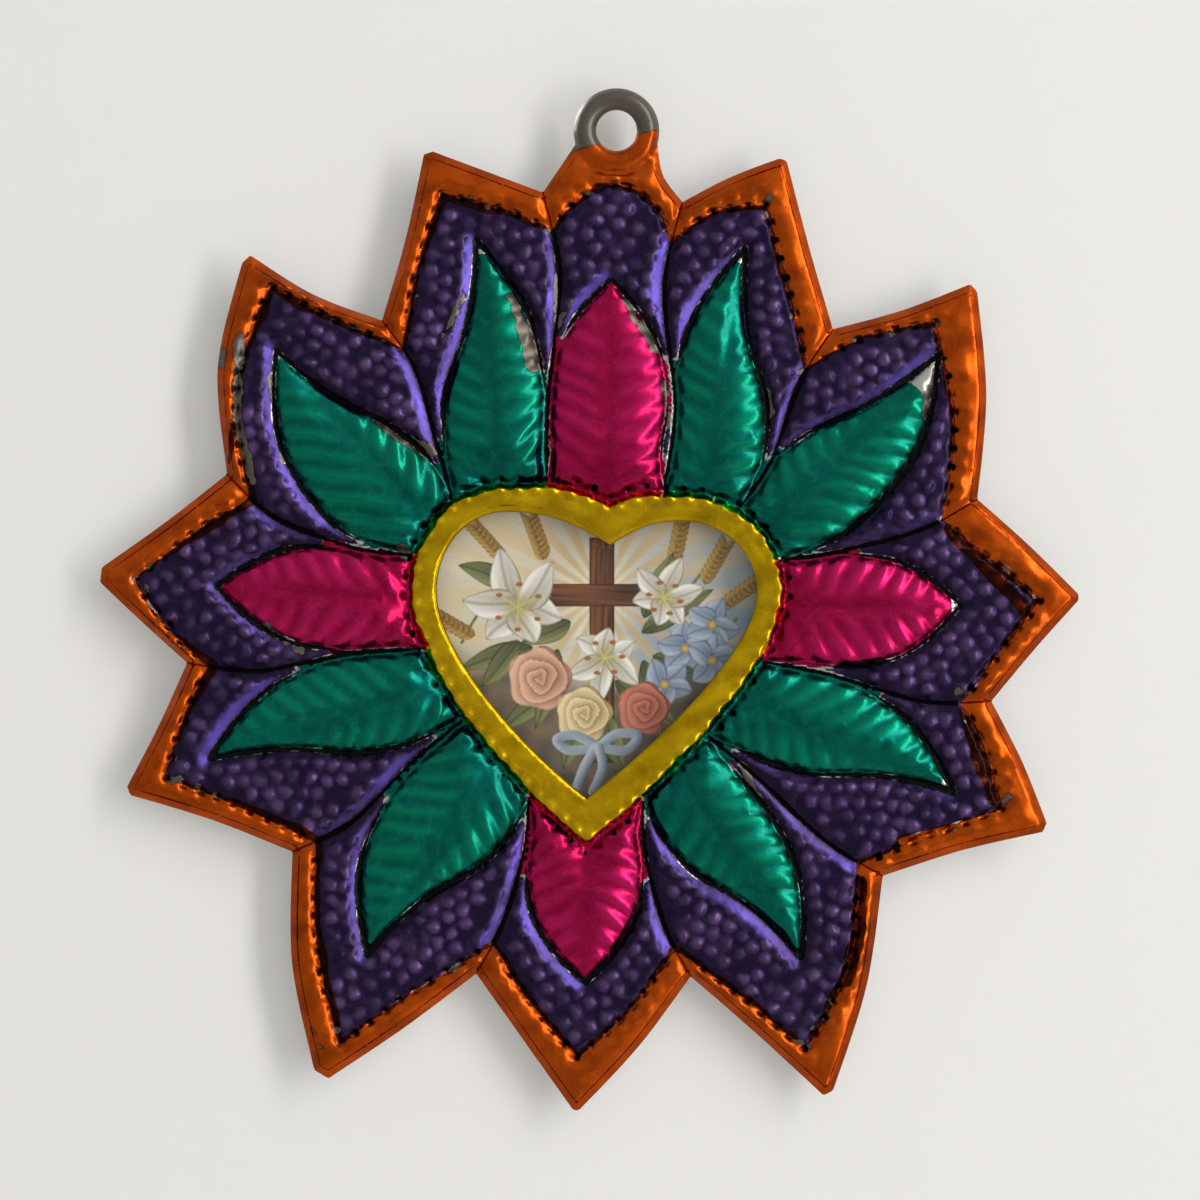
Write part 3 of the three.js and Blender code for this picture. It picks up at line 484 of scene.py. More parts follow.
# Places where a brush strayed: the orange far into the field, the purple over the border, and the purple
# that stops short of the bead line
ORANGE_STRAYS = [
    ((59.4, 16.9), (71.5, 4), 1.2), ((62.2, -13.5), (67, -27.9), 1.5), ((51.4, -35), (69.2, -30.4), 0.9)]
PURPLE_STRAYS = [
    ((44.7, -41.5), (44.2, -52), 0.9), ((44.2, -52), (42.4, -58.5), 0.8), ((-58.5, 46), (-60.5, 28), 0.5)]
PURPLE_GAPS = [((51.4, -35), (69.2, -30.4), 0.7)]
# How far inside a brushed patch a place counts as that lies nowhere near it
FAR_OUTSIDE = -9


def within(places, strips):
    """How far inside the nearest of some round-ended strips each place lies."""
    deep = np.full(len(places), float(FAR_OUTSIDE))
    for start, end, half in strips:
        start, way = np.array(start), np.array(end) - start
        share = np.clip((places - start) @ way / max(way @ way, 1e-9), 0, 1)
        deep = np.maximum(deep, half - np.linalg.norm(places - start - share[:, None] * way, axis=1))
    return deep


def ring_limit(places):
    """How far a place lies below the line across the ring where the orange lacquer ends."""
    off = places - ring_middle
    limit = -1.6 + 0.25 * off[:, 0] - off[:, 1]
    return np.where(np.abs(off[:, 0]) < RING_RADIUS + 1.5, limit, -FAR_OUTSIDE)


# Heights and widths of the relief, in front of the border's plane
LEAF_HEIGHT = 2.3
DOME_REACH = 8
LEAF_RIM = 0.4
MIDRIB_DEPTH = 0.22
VEIN_PITCH = 3.3
VEIN_HEIGHT = 0.42
VEIN_LOBE = 1.9
FIELD_HEIGHT = 1.5
FIELD_PROFILE = [(0, 0), (0.4, 0.2), (2.2, 0.85), (2.9, 0.8), (4.2, 0.87)]
BUMP_RADIUS = 1.42
BORDER_HEIGHT = 1.1
BORDER_PROFILE = [(0, 0.15), (0.08, 0.25), (0.36, 0.95), (0.48, 1), (0.8, 0.5), (1, 0.2)]
LOBE_RADIUS = 1.6
LOBE_HEIGHT = 0.5
EDGE_TURNED_BACK = 0.7
TURNED_STRIP = 1.25
BAND_HEIGHT = 1.8
BAND_GROOVE = 0.3
BAND_SHOULDER = 1.5
BAND_BULGE = 0.22
DOT_RADIUS = 1.05
DOT_HEIGHT = 0.5
LIP_ROUNDING = 0.85
LIP_CREASE = 1.1
LIP_DEPTH = 1.9
RING_HEIGHT = 1.4
PIT_RADIUS = 0.72
PIT_DEPTH = 0.55
PIT_RIM_RADIUS = 1.1
PIT_RIM_HEIGHT = 0.12
BUBBLE_RADIUS = 0.36
BUBBLE_HEIGHT = 0.2
SOFT_LIMIT = 2.5
LIMIT_MARGIN = 0.5


def emboss(places):
    """Height of the sheet in front of the border's plane at each place, and where each lacquer lies: a
    positive number of millimetres inside a brushed patch and a negative one outside it."""
    on_edge, on_bead, on_band, on_window, on_fold = (
        measured.measure(places)[0]
        for measured in (edge_measure, bead_measure, band_measure, window_measure, fold_measure))
    on_leaf, leaf, _ = leaf_measure.measure(places)
    on_side, _, side_point = leaf_side_measure.measure(places)
    on_crease, _, crease_point = crease_measure.measure(places)
    from_ring = np.linalg.norm(places - ring_middle, axis=1)
    in_bead = inside(places, bead_loop)
    in_band = inside(places, band_edge)
    in_leaf = np.zeros(len(places), bool)
    for k, loop in enumerate(leaf_loops):
        held = inside(places, loop)
        in_leaf |= held
        leaf[held] = k
    signed_leaf = np.where(in_leaf, on_leaf, -on_leaf)
    bead = np.where(in_bead, on_bead, -on_bead)
    heart = np.where(in_band, -on_band, on_band)
    dot = knob(nearest(places, band_dots)[0], DOT_RADIUS) ** 1.2
    heart -= BAND_BULGE * dot * (0.8 + 0.4 * waver(places, 9, 32))
    in_band = heart < 0
    in_leaf &= ~in_band

    # Leaves: domed across, with veins that run outwards and towards the tip
    roots, tips = np.array([axis[0] for axis in leaf_axes]), np.array([axis[1] for axis in leaf_axes])
    length = np.linalg.norm(tips - roots, axis=1)
    way = (tips - roots) / length[:, None]
    off = places - roots[leaf]
    along = (off * way[leaf]).sum(1)
    across = off[:, 1] * way[leaf, 0] - off[:, 0] * way[leaf, 1]
    sweep = np.array([row[6] for row in LEAVES])[leaf]
    phase = along - sweep * np.abs(across) + 0.9 * waver(places, 10, 21) + 0.4 * waver(places, 5, 23)
    phase /= VEIN_PITCH * np.sqrt(1 + sweep**2)
    vein = (0.5 + 0.5 * np.cos(2 * np.pi * phase)) ** 1.2
    beside = soft_step(np.abs(across), 0.4, 3.2) * soft_step(on_leaf, 0.3, 1.4)
    veins = vein * beside * (0.72 + 0.4 * waver(places, 6, 22))
    midrib = MIDRIB_DEPTH * bell(across, 0.9) * soft_step(on_leaf, 1, 4)
    lobed = on_leaf + VEIN_LOBE * (vein - 0.4) * beside * np.exp(-on_leaf / 2.4)
    inner = np.clip(lobed / DOME_REACH, 0, 1)
    dome = LEAF_HEIGHT * (1 - (1 - inner) ** 2) + LEAF_RIM * (1 - bell(on_leaf, 0.6)) - midrib
    dome += VEIN_HEIGHT * veins
    height = np.where(in_leaf, dome, 0.0)

    # Field: a pad with a smooth lip beside each drawn line, and bumps on it
    shore = np.minimum.reduce([on_leaf, on_crease, on_bead + 1.1, on_band])
    pad = FIELD_HEIGHT * np.interp(shore, *zip(*FIELD_PROFILE))
    from_bump, bump_near = nearest(places + 0.28 * astray(places, 1.7, 5), bumps)
    bump = knob(from_bump, BUMP_RADIUS) ** 1.5
    edge = np.minimum(on_leaf, on_crease)
    # The lip is kept to the side of each line that faces the light, on the right. It clears the bumps there,
    # and the purple is painted a lighter violet on it, a painted highlight.
    to_right = np.where(on_leaf < on_crease, side_point[:, 0], crease_point[:, 0]) - places[:, 0]
    lip_end = 2 + 0.6 * waver(places, 20, 71) + 0.2 * waver(places, 3, 68)
    lip = 1 - soft_step(edge, lip_end - 0.3, lip_end + 0.3)
    lip *= soft_step(to_right / np.maximum(edge, 0.1), 0, 0.7)
    bump *= 1 - lip
    in_field = in_bead & ~in_leaf & ~in_band
    pad += 0.25 * soft_step(np.abs(on_bead - 1.2), 0.9, 0) * waver(places, 1.7, 4)
    height = np.where(in_field, pad + bump_heights[bump_near] * bump, height)

    # Border: a ridge along the bead line that sinks towards the edge, which is turned back
    rim = np.minimum(on_edge, np.abs(from_ring - RING_RADIUS) + 0.01)
    ridge = BORDER_HEIGHT * np.interp(on_bead / (on_bead + rim), *zip(*BORDER_PROFILE))
    ridge *= 1 - 0.8 * bell(on_fold, 0.9)
    lobe = knob(nearest(places, bead_lobes)[0], LOBE_RADIUS) ** 1.5
    ridge += LOBE_HEIGHT * lobe * (0.8 + 0.4 * waver(places, 8, 43)) + 0.15 * waver(places, 3.4, 44)
    turned = EDGE_TURNED_BACK * np.clip(1 - on_edge / TURNED_STRIP, 0, 1)
    in_border = ~in_bead & (from_ring > RING_RADIUS)
    height = np.where(in_border, ridge - turned, height)

    # Band: flat with rounded edges, dots along its outer one, and the lip's bend at the window
    shoulder = np.sqrt(1 - (1 - np.clip(-heart / BAND_SHOULDER, 0, 1)) ** 2)
    band = BAND_GROOVE + (BAND_HEIGHT - BAND_GROOVE) * shoulder
    bend = np.clip(on_window / LIP_ROUNDING, 0, 1)
    band -= LIP_ROUNDING * (1 - np.sqrt(1 - (1 - bend) ** 2))
    band -= 0.1 * bell(on_window - LIP_CREASE, 0.22)
    band += DOT_HEIGHT * dot
    band += 0.1 * waver(places, 3.5, 31) * soft_step(on_window, 0.8, 2)
    height = np.where(in_band, band, height)
    near_band = ~in_band & (heart < 1)
    height = np.where(near_band, np.maximum(height, BAND_GROOVE - 0.15 * heart), height)

    # Ring: embossed round, its edge turned back
    on_ring = from_ring <= RING_RADIUS
    share = (from_ring - RING_HOLE_RADIUS) / (RING_RADIUS - RING_HOLE_RADIUS)
    hoop = RING_HEIGHT * np.sin(np.pi * np.clip(share, 0, 1)) ** 0.6
    back = EDGE_TURNED_BACK * soft_step(share, 0.7, 1) * (1 - soft_step(on_edge, 0.3, 1.2))
    height = np.where(on_ring, hoop - back, height)

    # Pits with their thrown-up rims, bubbles, and the unevenness of handwork, all below a soft limit
    from_pit, pit_near = nearest(places, all_pits)
    pit = np.clip(1 - (from_pit / PIT_RADIUS) ** 2, 0, 1) ** 1.5
    height -= PIT_DEPTH * pit * ~on_ring * np.where(heart < 3, 0.65, 1)
    height += PIT_RIM_HEIGHT * bell(from_pit - PIT_RIM_RADIUS, 0.35) * (heart > 0.3) * ~on_ring
    height += BUBBLE_HEIGHT * knob(nearest(places, bubbles)[0], BUBBLE_RADIUS) ** 2
    calm = soft_step(on_edge, 0, 3) * soft_step(on_window, 0, 1.5)
    height += calm * (0.09 * waver(places, 7, 41) + 0.03 * waver(places, 2.2, 42))
    limited = SOFT_LIMIT + LIMIT_MARGIN * np.tanh((height - SOFT_LIMIT) / LIMIT_MARGIN)
    height = np.where(height > SOFT_LIMIT, limited, height)

    # Bare tin: the spots that the brush missed, flecks along the bead line, and the top of the ring
    rag = 0.2 * waver(places, 4, 51) + 0.08 * waver(places, 1.3, 52)
    fleck = 0.7 * waver(places, 1.5, 63) + 0.6 * waver(places, 16, 64) - 0.85
    bare = within(places, BARE_SPOTS) + rag + 0.25 * waver(places, 1.1, 61)
    bare = np.maximum.reduce([bare, np.where(np.abs(bead) < 1.2, fleck, FAR_OUTSIDE), -ring_limit(places)])

    # Leaves' colour: up to the drawn line, short of the tip, over the band's edge and the corner at the root
    stop = np.array([row[5] for row in LEAVES])[leaf]
    signed_side = np.where(in_leaf, on_side, -on_side)
    painted = np.where(in_leaf | in_band, on_side, -on_side) - 0.15 + rag
    corner = 1.3 - on_side - on_crease
    leaf_paint = np.maximum(np.minimum(painted, length[leaf] - stop - along), corner)
    leaf_paint = np.minimum.reduce([leaf_paint, heart + 0.8 + 0.4 * waver(places, 6, 58), -bare])
    magenta_leaf = np.isin(leaf, MAGENTA_LEAVES)

    # The black line, which covers the groove and has pooled in the pits. In each pit the black is set off to
    # the right, away from the light, so that it covers the pit's shaded side as painted shade and leaves its
    # lit left wall uncovered.
    width = (0.5 + 0.2 * waver(places, 9, 53)) * (0.1 + 0.9 * soft_step(on_crease, 0.4, 2.6))
    crease_width = (0.42 + 0.16 * waver(places, 8, 54)) * (0.6 + 0.4 * soft_step(on_leaf, 0.4, 2))
    line = np.maximum(width - np.abs(signed_side + 0.1), crease_width - on_crease)
    line = np.where(in_band | ~in_bead, FAR_OUTSIDE, line)
    off_shaded_pit_side = np.linalg.norm(places - all_pits[pit_near] - (0.18, 0.05), axis=1)
    pooled_black_and_pit_shade = 0.4 + 0.28 * waver(places, 5, 69) - off_shaded_pit_side
    pooled_black_and_pit_shade += FAR_OUTSIDE * (within(places, ORANGE_STRAYS) > -0.5)

    # Purple and orange, which overlap at the bead line; a sliver of tin shows between purple and leaf
    from_left = np.where(in_leaf, 1, -1) * (places[:, 0] - side_point[:, 0]) / np.maximum(on_side, 0.05)
    sliver = 0.2 * soft_step(waver(places, 7, 57), 0.3, 0.8) * soft_step(from_left, 0.2, 0.7)
    stray = 1.5 * soft_step(waver(places, 12, 62), 0.25, 0.8)
    purple = np.minimum.reduce([bead + 0.3 + rag, -signed_leaf - width + stray - sliver, heart - 0.2, -corner])
    purple = np.maximum(purple, within(places, PURPLE_STRAYS) + rag)
    purple = np.minimum(purple, -within(places, PURPLE_GAPS) + rag)
    overlap = 0.5 + 0.7 * waver(places, 16, 55) + 0.3 * waver(places, 3, 59)
    orange = np.maximum(-bead + overlap, within(places, ORANGE_STRAYS) + 1.5 * rag)
    orange = np.minimum(orange, ring_limit(places))

    # Dark brown lines along the folds, and how deep each colour lies
    # The lip mask also carries the painted highlight: the purple is painted lighter violet along it.
    lip *= (0.62 + 0.3 * waver(places, 7, 70)) * soft_step(edge, 0.4, 0.9)
    # Dark brown lines along the creases between petals, the bend of the turned-back edge, and the lip's bend
    # on the upper half
    edge_fold = 0.09 + 0.05 * waver(places, 9, 60) - np.abs(on_edge - TURNED_STRIP)
    edge_fold += FAR_OUTSIDE * (from_ring < RING_RADIUS + 1)
    lip_fold = 0.05 + 0.06 * waver(places, 8, 65) - np.abs(on_window - LIP_CREASE) - 0.3 * (places[:, 1] < 2)
    # Thin on the vein ridges, and deeper towards the band: the darker leaf roots are painted shade
    leaf_thinness_and_root_shade = (0.25 + 0.75 * vein * beside) * (0.35 + 0.65 * soft_step(heart, 0, 11))
    # Thin on the bump tops, and on the lips that face the light, which is a painted highlight
    bump_thinness_and_lip_highlight = np.maximum(bump * (0.65 + 0.5 * waver(places, 6, 66)), lip)
    elsewhere = 0.5 + 0.4 * waver(places, 3, 67) - 0.4 * dot * ~in_band
    lacquer = {
        "green": np.where(magenta_leaf, FAR_OUTSIDE, leaf_paint),
        "magenta": np.where(magenta_leaf, leaf_paint, FAR_OUTSIDE),
        "purple": np.minimum(purple, -bare),
        "orange": np.minimum(orange, -bare),
        "yellow": 0.1 - heart + 0.35 * waver(places, 3.2, 56),
        "line": np.maximum(line, pooled_black_and_pit_shade),
        # The lip mask, along which the purple is painted lighter violet as a painted highlight
        "lip": np.clip(lip / 0.6, 0, 1),
        "fold": 2.5 * np.maximum.reduce([0.16 - on_fold, edge_fold, lip_fold]),
        # How deep the lacquer lies, with painted shade at the leaves' roots and a painted highlight on the
        # lips
        "pool_and_painted_light": 1 - np.where(in_leaf, leaf_thinness_and_root_shade, np.where(in_field, bump_thinness_and_lip_highlight, elsewhere)),
        "bare": bare,
    }
    return height, lacquer


def hexagons(low, high, step):
    """Points in rows a step apart, each row shifted by half a step."""
    points = []
    for k, z in enumerate(np.arange(low[1], high[1], step * 0.866)):
        x = np.arange(low[0] + (step / 2 if k % 2 else 0), high[0], step)
        points.append(np.column_stack([x, np.full(len(x), z)]))
    return np.vstack(points)


def circles(centres, radius, count):
    """Points on a small circle round each centre."""
    angles = np.arange(count) * 2 * np.pi / count
    ring = radius * np.column_stack([np.cos(angles), np.sin(angles)])
    return (centres[:, None, :] + ring[None]).reshape(-1, 2)


def thin_out(points, kept, room):
    """Those of the points that leave some room to every point kept already."""
    return points[nearest(points, kept)[0] > room]


def spread(boundaries, features, room, step, wide_step=None, fine=None):
    """Points all over the sheet: on its boundaries, on its features with some room between, and in between
    a step apart, or a wide step where the function fine says no."""
    kept = np.vstack(boundaries)
    for feature in features:
        kept = np.vstack([kept, thin_out(feature[between(feature, boundaries)], kept, room)])
    for apart in (step, wide_step) if fine else (step,):
        grid = hexagons(boundaries[0].min(0), boundaries[0].max(0), apart)
        grid = grid[between(grid, boundaries)]
        if fine:
            grid = grid[fine(grid) == (apart == step)]
        kept = np.vstack([kept, thin_out(grid, kept, 0.62 * apart)])
    return kept


def triangulate(points, boundaries):
    """Triangles over points, without those outside the first boundary or inside another one."""
    edges, start = [], 0
    for loop in boundaries:
        count = len(loop)
        edges += [(start + k, start + (k + 1) % count) for k in range(count)]
        start += count
    made = delaunay_2d_cdt([Vector(point) for point in points], edges, [], 0, 1e-6)
    source = np.array([min(origin) if origin else -1 for origin in made[3]])
    triangles = source[np.array([face for face in made[2] if len(face) == 3])]
    triangles = triangles[(triangles >= 0).all(1)]
    middles = points[triangles].mean(1)
    triangles = triangles[between(middles, boundaries)]
    a, b, c = (points[triangles[:, k]] for k in range(3))
    turned = (b[:, 0] - a[:, 0]) * (c[:, 1] - a[:, 1]) - (b[:, 1] - a[:, 1]) * (c[:, 0] - a[:, 0])
    triangles[turned < 0] = triangles[turned < 0][:, ::-1]
    return triangles[np.abs(turned) > 1e-9]


def grown(loop, distance):
    """A closed line moved sideways by a distance."""
    return loop + sideways(np.roll(loop, -1, axis=0) - np.roll(loop, 1, axis=0)) * distance


def fine_places(places):
    """The border, the field and the band need closer points than the leaves."""
    return ~in_any(places, leaf_loops) | (leaf_measure.measure(places)[0] < 1.2)


# Steps between the points of the front, which is fine, and of the back, and the room round a feature's points
OUTLINE_STEP = 0.55
DRAWN_STEP = 0.5
FINE_STEP = 0.52
LEAF_STEP = 0.72
FEATURE_ROOM = 0.24
BACK_STEP = 1.0
BACK_ROOM = 0.5
outer = evenly(closed(outline), OUTLINE_STEP)[:-1]
window = evenly(closed(window_edge), DRAWN_STEP)[:-1]
beside_edge = np.vstack([grown(outer, -away) for away in (0.6, TURNED_STRIP, 1.9)])
drawn = [evenly(line, DRAWN_STEP) for parts in leaf_lines + crease_lines for line in parts]
drawn = np.vstack([*drawn, evenly(closed(band_edge), 0.45)])
features = [
    drawn, all_pits, circles(all_pits, 0.42, 6), circles(all_pits, 0.8, 10),
    evenly(closed(bead_loop), DRAWN_STEP),
    band_dots, circles(band_dots, 0.5, 7), circles(bead_lobes, 0.6, 6), grown(window, 0.3), beside_edge,
    bumps, circles(bumps, 0.7, 6), circles(bumps, 1.3, 10),
    bubbles, circles(bubbles, 0.2, 5), circles(bubbles, 0.4, 7),
]
front_points = spread([outer, window, hole_edge], features, FEATURE_ROOM, FINE_STEP, LEAF_STEP, fine_places)
front_faces = triangulate(front_points, [outer, window, hole_edge])
front_height, lacquer = emboss(front_points)

back_features = [drawn, all_pits, circles(all_pits, 0.8, 6), bumps, circles(bumps, 1.2, 6)]
rear_window = grown(window, SHEET_THICKNESS)
back_points = spread([outer, rear_window, hole_edge], back_features, BACK_ROOM, BACK_STEP)
back_faces = triangulate(back_points, [outer, rear_window, hole_edge])


def lowest_near(places, points, heights, reach):
    """The least height among the points within reach of each place."""
    tree = tree_of(points)
    return np.array([heights[[k for _, k, _ in tree.find_range((x, z, 0), reach)]].min() for x, z in places])


# The coarser back keeps under the lowest of the front near it, so that it shows nowhere through a groove.
BACK_REACH = 0.75
BACK_BELOW = 0.75 * SHEET_THICKNESS
back_height = lowest_near(back_points, front_points, front_height, BACK_REACH) - BACK_BELOW
for _ in range(3):
    total, count = np.zeros(len(back_points)), np.zeros(len(back_points))
    for a, b in ((0, 1), (1, 2), (2, 0)):
        for one, other in ((a, b), (b, a)):
            np.add.at(total, back_faces[:, one], back_height[back_faces[:, other]])
            np.add.at(count, back_faces[:, one], 1)
    back_height = np.minimum(back_height, total / np.maximum(count, 1))


def face_sheet_mesh():
    """Front, back and the edges that join them, with the lip that is turned back into the niche."""
    places = [np.column_stack([front_points, front_height]), np.column_stack([back_points, back_height])]
    faces = [front_faces, back_faces[:, ::-1] + len(front_points)]
    total = len(front_points) + len(back_points)
    count, start = len(window), len(outer)
    lip = []
    for first, line in ((start, window), (len(front_points) + start, rear_window)):
        top = places[0 if first == start else 1][start : start + count, 2]
        rows = [np.arange(first, first + count)]
        for share in (0.35, 0.7, 1):
            low = top + (BAND_HEIGHT - LIP_DEPTH - top) * share
            places.append(np.column_stack([line, low]))
            rows.append(np.arange(total, total + count))
            total += count
        lip.append(rows)
    quads = []
    turn = np.roll(np.arange(count), -1)
    for rows, flip in ((lip[0], True), (lip[1], False)):
        for upper, lower in zip(rows, rows[1:]):
            quad = np.column_stack([upper, upper[turn], lower[turn], lower])
            quads.append(quad if flip else quad[:, ::-1])
    quads.append(np.column_stack([lip[0][-1], lip[0][-1][turn], lip[1][-1][turn], lip[1][-1]]))
    sharp = [(lip[0][-1], turn), (lip[1][-1], turn)]
    for first, size, flip in ((0, len(outer), True), (start + count, len(hole_edge), False)):
        turn = np.roll(np.arange(size), -1)
        front, back = np.arange(first, first + size), np.arange(first, first + size) + len(front_points)
        quad = np.column_stack([front, back, back[turn], front[turn]])
        quads.append(quad if flip else quad[:, ::-1])
        sharp += [(front, turn), (back, turn)]
    return np.vstack(places), np.vstack(faces), np.vstack(quads), sharp


def build(name, places, faces, sharp=()):
    """A mesh object from points in metres and lists of faces, smooth but for its sharp edges."""
    mesh = bpy.data.meshes.new(name)
    mesh.from_pydata(places.tolist(), [], [face for part in faces for face in part.tolist()])
    mesh.validate()
    mesh.shade_smooth()
    if len(sharp):
        wanted = {tuple(sorted(pair)) for row, turn in sharp for pair in zip(row.tolist(), row[turn].tolist())}
        ends = np.zeros(len(mesh.edges) * 2, np.int32)
        mesh.edges.foreach_get("vertices", ends)
        marks = [tuple(sorted(pair)) in wanted for pair in ends.reshape(-1, 2).tolist()]
        mesh.attributes.new("sharp_edge", "BOOLEAN", "EDGE").data.foreach_set("value", marks)
    made = bpy.data.objects.new(name, mesh)
    bpy.context.scene.collection.objects.link(made)
    return made


def in_frame(places):
    """Points given as x, z and height in millimetres from the flower's middle, in the part's frame."""
    x, z, height = places.T
    return np.column_stack([x - ring_middle[0], -height, z - ring_middle[1]]) / 1000


places, faces, quads, sharp = face_sheet_mesh()
face_sheet = build("embossed_face_sheet", in_frame(places), [faces, quads], sharp)
for name, values in lacquer.items():
    spare = np.full(len(places) - len(front_points), float(FAR_OUTSIDE))
    if name == "yellow":
        spare[len(back_points) : len(back_points) + 3 * len(window)] = 1
    layer = face_sheet.data.attributes.new(name, "FLOAT", "POINT")
    layer.data.foreach_set("value", np.concatenate([values, spare]).astype(np.float32))


def linear(colour):
    """A colour written as sRGB hex, in the linear light that shaders work in."""
    parts = [int(colour[k : k + 2], 16) / 255 for k in (1, 3, 5)]
    return (*[c / 12.92 if c <= 0.04045 else ((c + 0.055) / 1.055) ** 2.4 for c in parts], 1)


def add(tree, kind, inputs=None, **settings):
    """Adds a node. Each input is a plain value, an output, or a node whose first output in use it takes."""
    made = tree.nodes.new("ShaderNode" + kind)
    for name, value in settings.items():
        setattr(made, name, value)
    for name, value in (inputs or {}).items():
        if isinstance(value, bpy.types.Node):
            value = next(output for output in value.outputs if output.enabled)
        if isinstance(value, bpy.types.NodeSocket):
            tree.links.new(value, made.inputs[name])
        else:
            made.inputs[name].default_value = value
    return made


def new_material(name):
    """An empty material and the tree that its nodes go into."""
    material = bpy.data.materials.new(name)
    material.use_nodes = True
    material.node_tree.nodes.clear()
    return material, material.node_tree


# See-through lacquers over tinplate: the tin shines through, so each colour is a tinted metal under a clear
# glossy coat.
# It is deeper where the lacquer has run together, painted deeper on the leaves towards the band as painted
# shade, and thinner on the lips that face the light as a painted highlight. Where two brushed colours overlap
# the tints multiply to a dark brown.
BARE_TIN = "#605A51"
# The lighter violet painted on the lips that face the light: a painted highlight
LIP_HIGHLIGHT_TINT = "#5A4AA0"
# The tint of each lacquer where it lies deep and where it lies thin
LACQUERS = [
    ("green", "#014E49", "#03775A"),
    ("magenta", "#8A0632", "#B01856"),
    ("purple", "#211733", "#624A76"),
    ("orange", "#8E3604", "#B64B09"),
    ("yellow", "#9C7A02", "#C29E0A"),
    ("line", "#08090B", "#1C1D20"),
    ("fold", "#62280C", "#62280C"),
]
# A noise's scale is 1000 over the size of its swells in millimetres
material, tree = new_material("lacquered_tinplate")
where = add(tree, "TexCoord").outputs["Object"]
tin_grain = add(tree, "TexNoise", {"Vector": where, "Scale": 1000 / 9, "Detail": 3})
ragged = add(tree, "TexNoise", {"Vector": where, "Scale": 1000 / 1.1, "Detail": 3})
rag = add(tree, "MapRange", {"Value": ragged, "To Min": -0.22, "To Max": 0.22})
pool_and_painted_light = add(tree, "Attribute", attribute_name="pool_and_painted_light").outputs["Fac"]
tin = add(tree, "Mix", {0: tin_grain, 6: linear("#A3A19C"), 7: linear("#BDBBB6")}, data_type="RGBA")
missed = add(tree, "Attribute", attribute_name="bare").outputs["Fac"]
bare = add(tree, "MapRange", {"Value": missed, "From Min": -0.3, "From Max": 0})
colour = add(tree, "Mix", {0: bare, 6: tin, 7: linear(BARE_TIN)}, data_type="RGBA")
strokes = add(tree, "TexNoise", {"Vector": where, "Scale": 1000 / 5, "Detail": 4, "Distortion": 1.6})
uneven = add(tree, "MapRange", {"Value": strokes, "To Min": -0.45, "To Max": 0.45})
wisps = add(tree, "TexNoise", {"Vector": where, "Scale": 1000 / 8, "Detail": 2, "Distortion": 2.2})
off_middle = add(tree, "Math", {0: wisps, 1: 0.5}, operation="SUBTRACT")
from_wisp = add(tree, "Math", {0: off_middle}, operation="ABSOLUTE")
wisp = add(tree, "MapRange", {
    "Value": from_wisp, "From Min": 0.0, "From Max": 0.025, "To Min": -0.4, "To Max": 0.0})
purple = add(tree, "Attribute", attribute_name="purple").outputs["Fac"]
on_field = add(tree, "MapRange", {"Value": purple, "From Min": -0.3, "From Max": 0.3})
fading = add(tree, "Mix", {0: on_field, 2: wisp, 3: 0.0})
streaked = add(tree, "Math", {0: uneven, 1: fading})
# How deep each lacquer lies, with the painted shade at the leaves' roots and the painted highlight on the lips
depth_and_painted_light = add(tree, "Math", {0: pool_and_painted_light, 1: streaked}, use_clamp=True)
for name, deep, thin in LACQUERS:
    place = add(tree, "Attribute", attribute_name=name).outputs["Fac"]
    brushed = add(tree, "Math", {0: place, 1: rag}, operation="ADD")
    mask = add(tree, "MapRange", {
        "Value": brushed, "From Min": -0.07, "From Max": 0.07}, interpolation_type="SMOOTHSTEP")
    light = linear(thin)
    # On the purple, the lips that face the light are mixed towards the lip tint, a painted highlight.
    if name == "purple":
        on_lit_lip = add(tree, "Attribute", attribute_name="lip").outputs["Fac"]
        light = add(tree, "Mix", {0: on_lit_lip, 6: light, 7: linear(LIP_HIGHLIGHT_TINT)}, data_type="RGBA")
    depth = add(tree, "Mix", {0: depth_and_painted_light, 6: light, 7: linear(deep)}, data_type="RGBA")
    tint = add(tree, "Mix", {0: 1.0, 6: depth, 7: linear("#B0AEA9")}, data_type="RGBA", blend_type="DIVIDE")
    colour = add(tree, "Mix", {0: mask, 6: colour, 7: tint}, data_type="RGBA", blend_type="MULTIPLY")
orange_peel = add(tree, "TexNoise", {"Vector": where, "Scale": 1000 / 1.6, "Detail": 2})
ripple = add(tree, "Bump", {"Height": orange_peel, "Distance": 0.00006, "Strength": 0.5})
rough = add(tree, "MapRange", {"Value": tin_grain, "To Min": 0.24, "To Max": 0.36})
either = add(tree, "Math", {0: on_field, 1: bare}, operation="MAXIMUM")
rougher = add(tree, "Mix", {0: either, 2: rough, 3: 0.4})
shader = add(tree, "BsdfPrincipled", {
    "Base Color": colour, "Metallic": 1.0, "Roughness": rougher, "Normal": ripple,
    "Coat Weight": 0.07, "Coat Roughness": 0.08, "Coat IOR": 1.5})
add(tree, "OutputMaterial", {"Surface": shader})
face_sheet.data.materials.append(material)
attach(face_sheet, "root")
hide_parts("face_sheet")

# Niche wall: a strip of the same tinplate, left bare and bent into a heart. It stands on the back of the band,
# where the window's lip meets the niche, and its ends meet at the heart's tip.

WALL_MARGIN = 2.15
WALL_THICKNESS = 0.3
WALL_FRONT = -1.5
WALL_REAR = 5.0
WALL_STEP = 0.7
SEAM_GAP = 0.3
EDGE_WEAR = 0.07


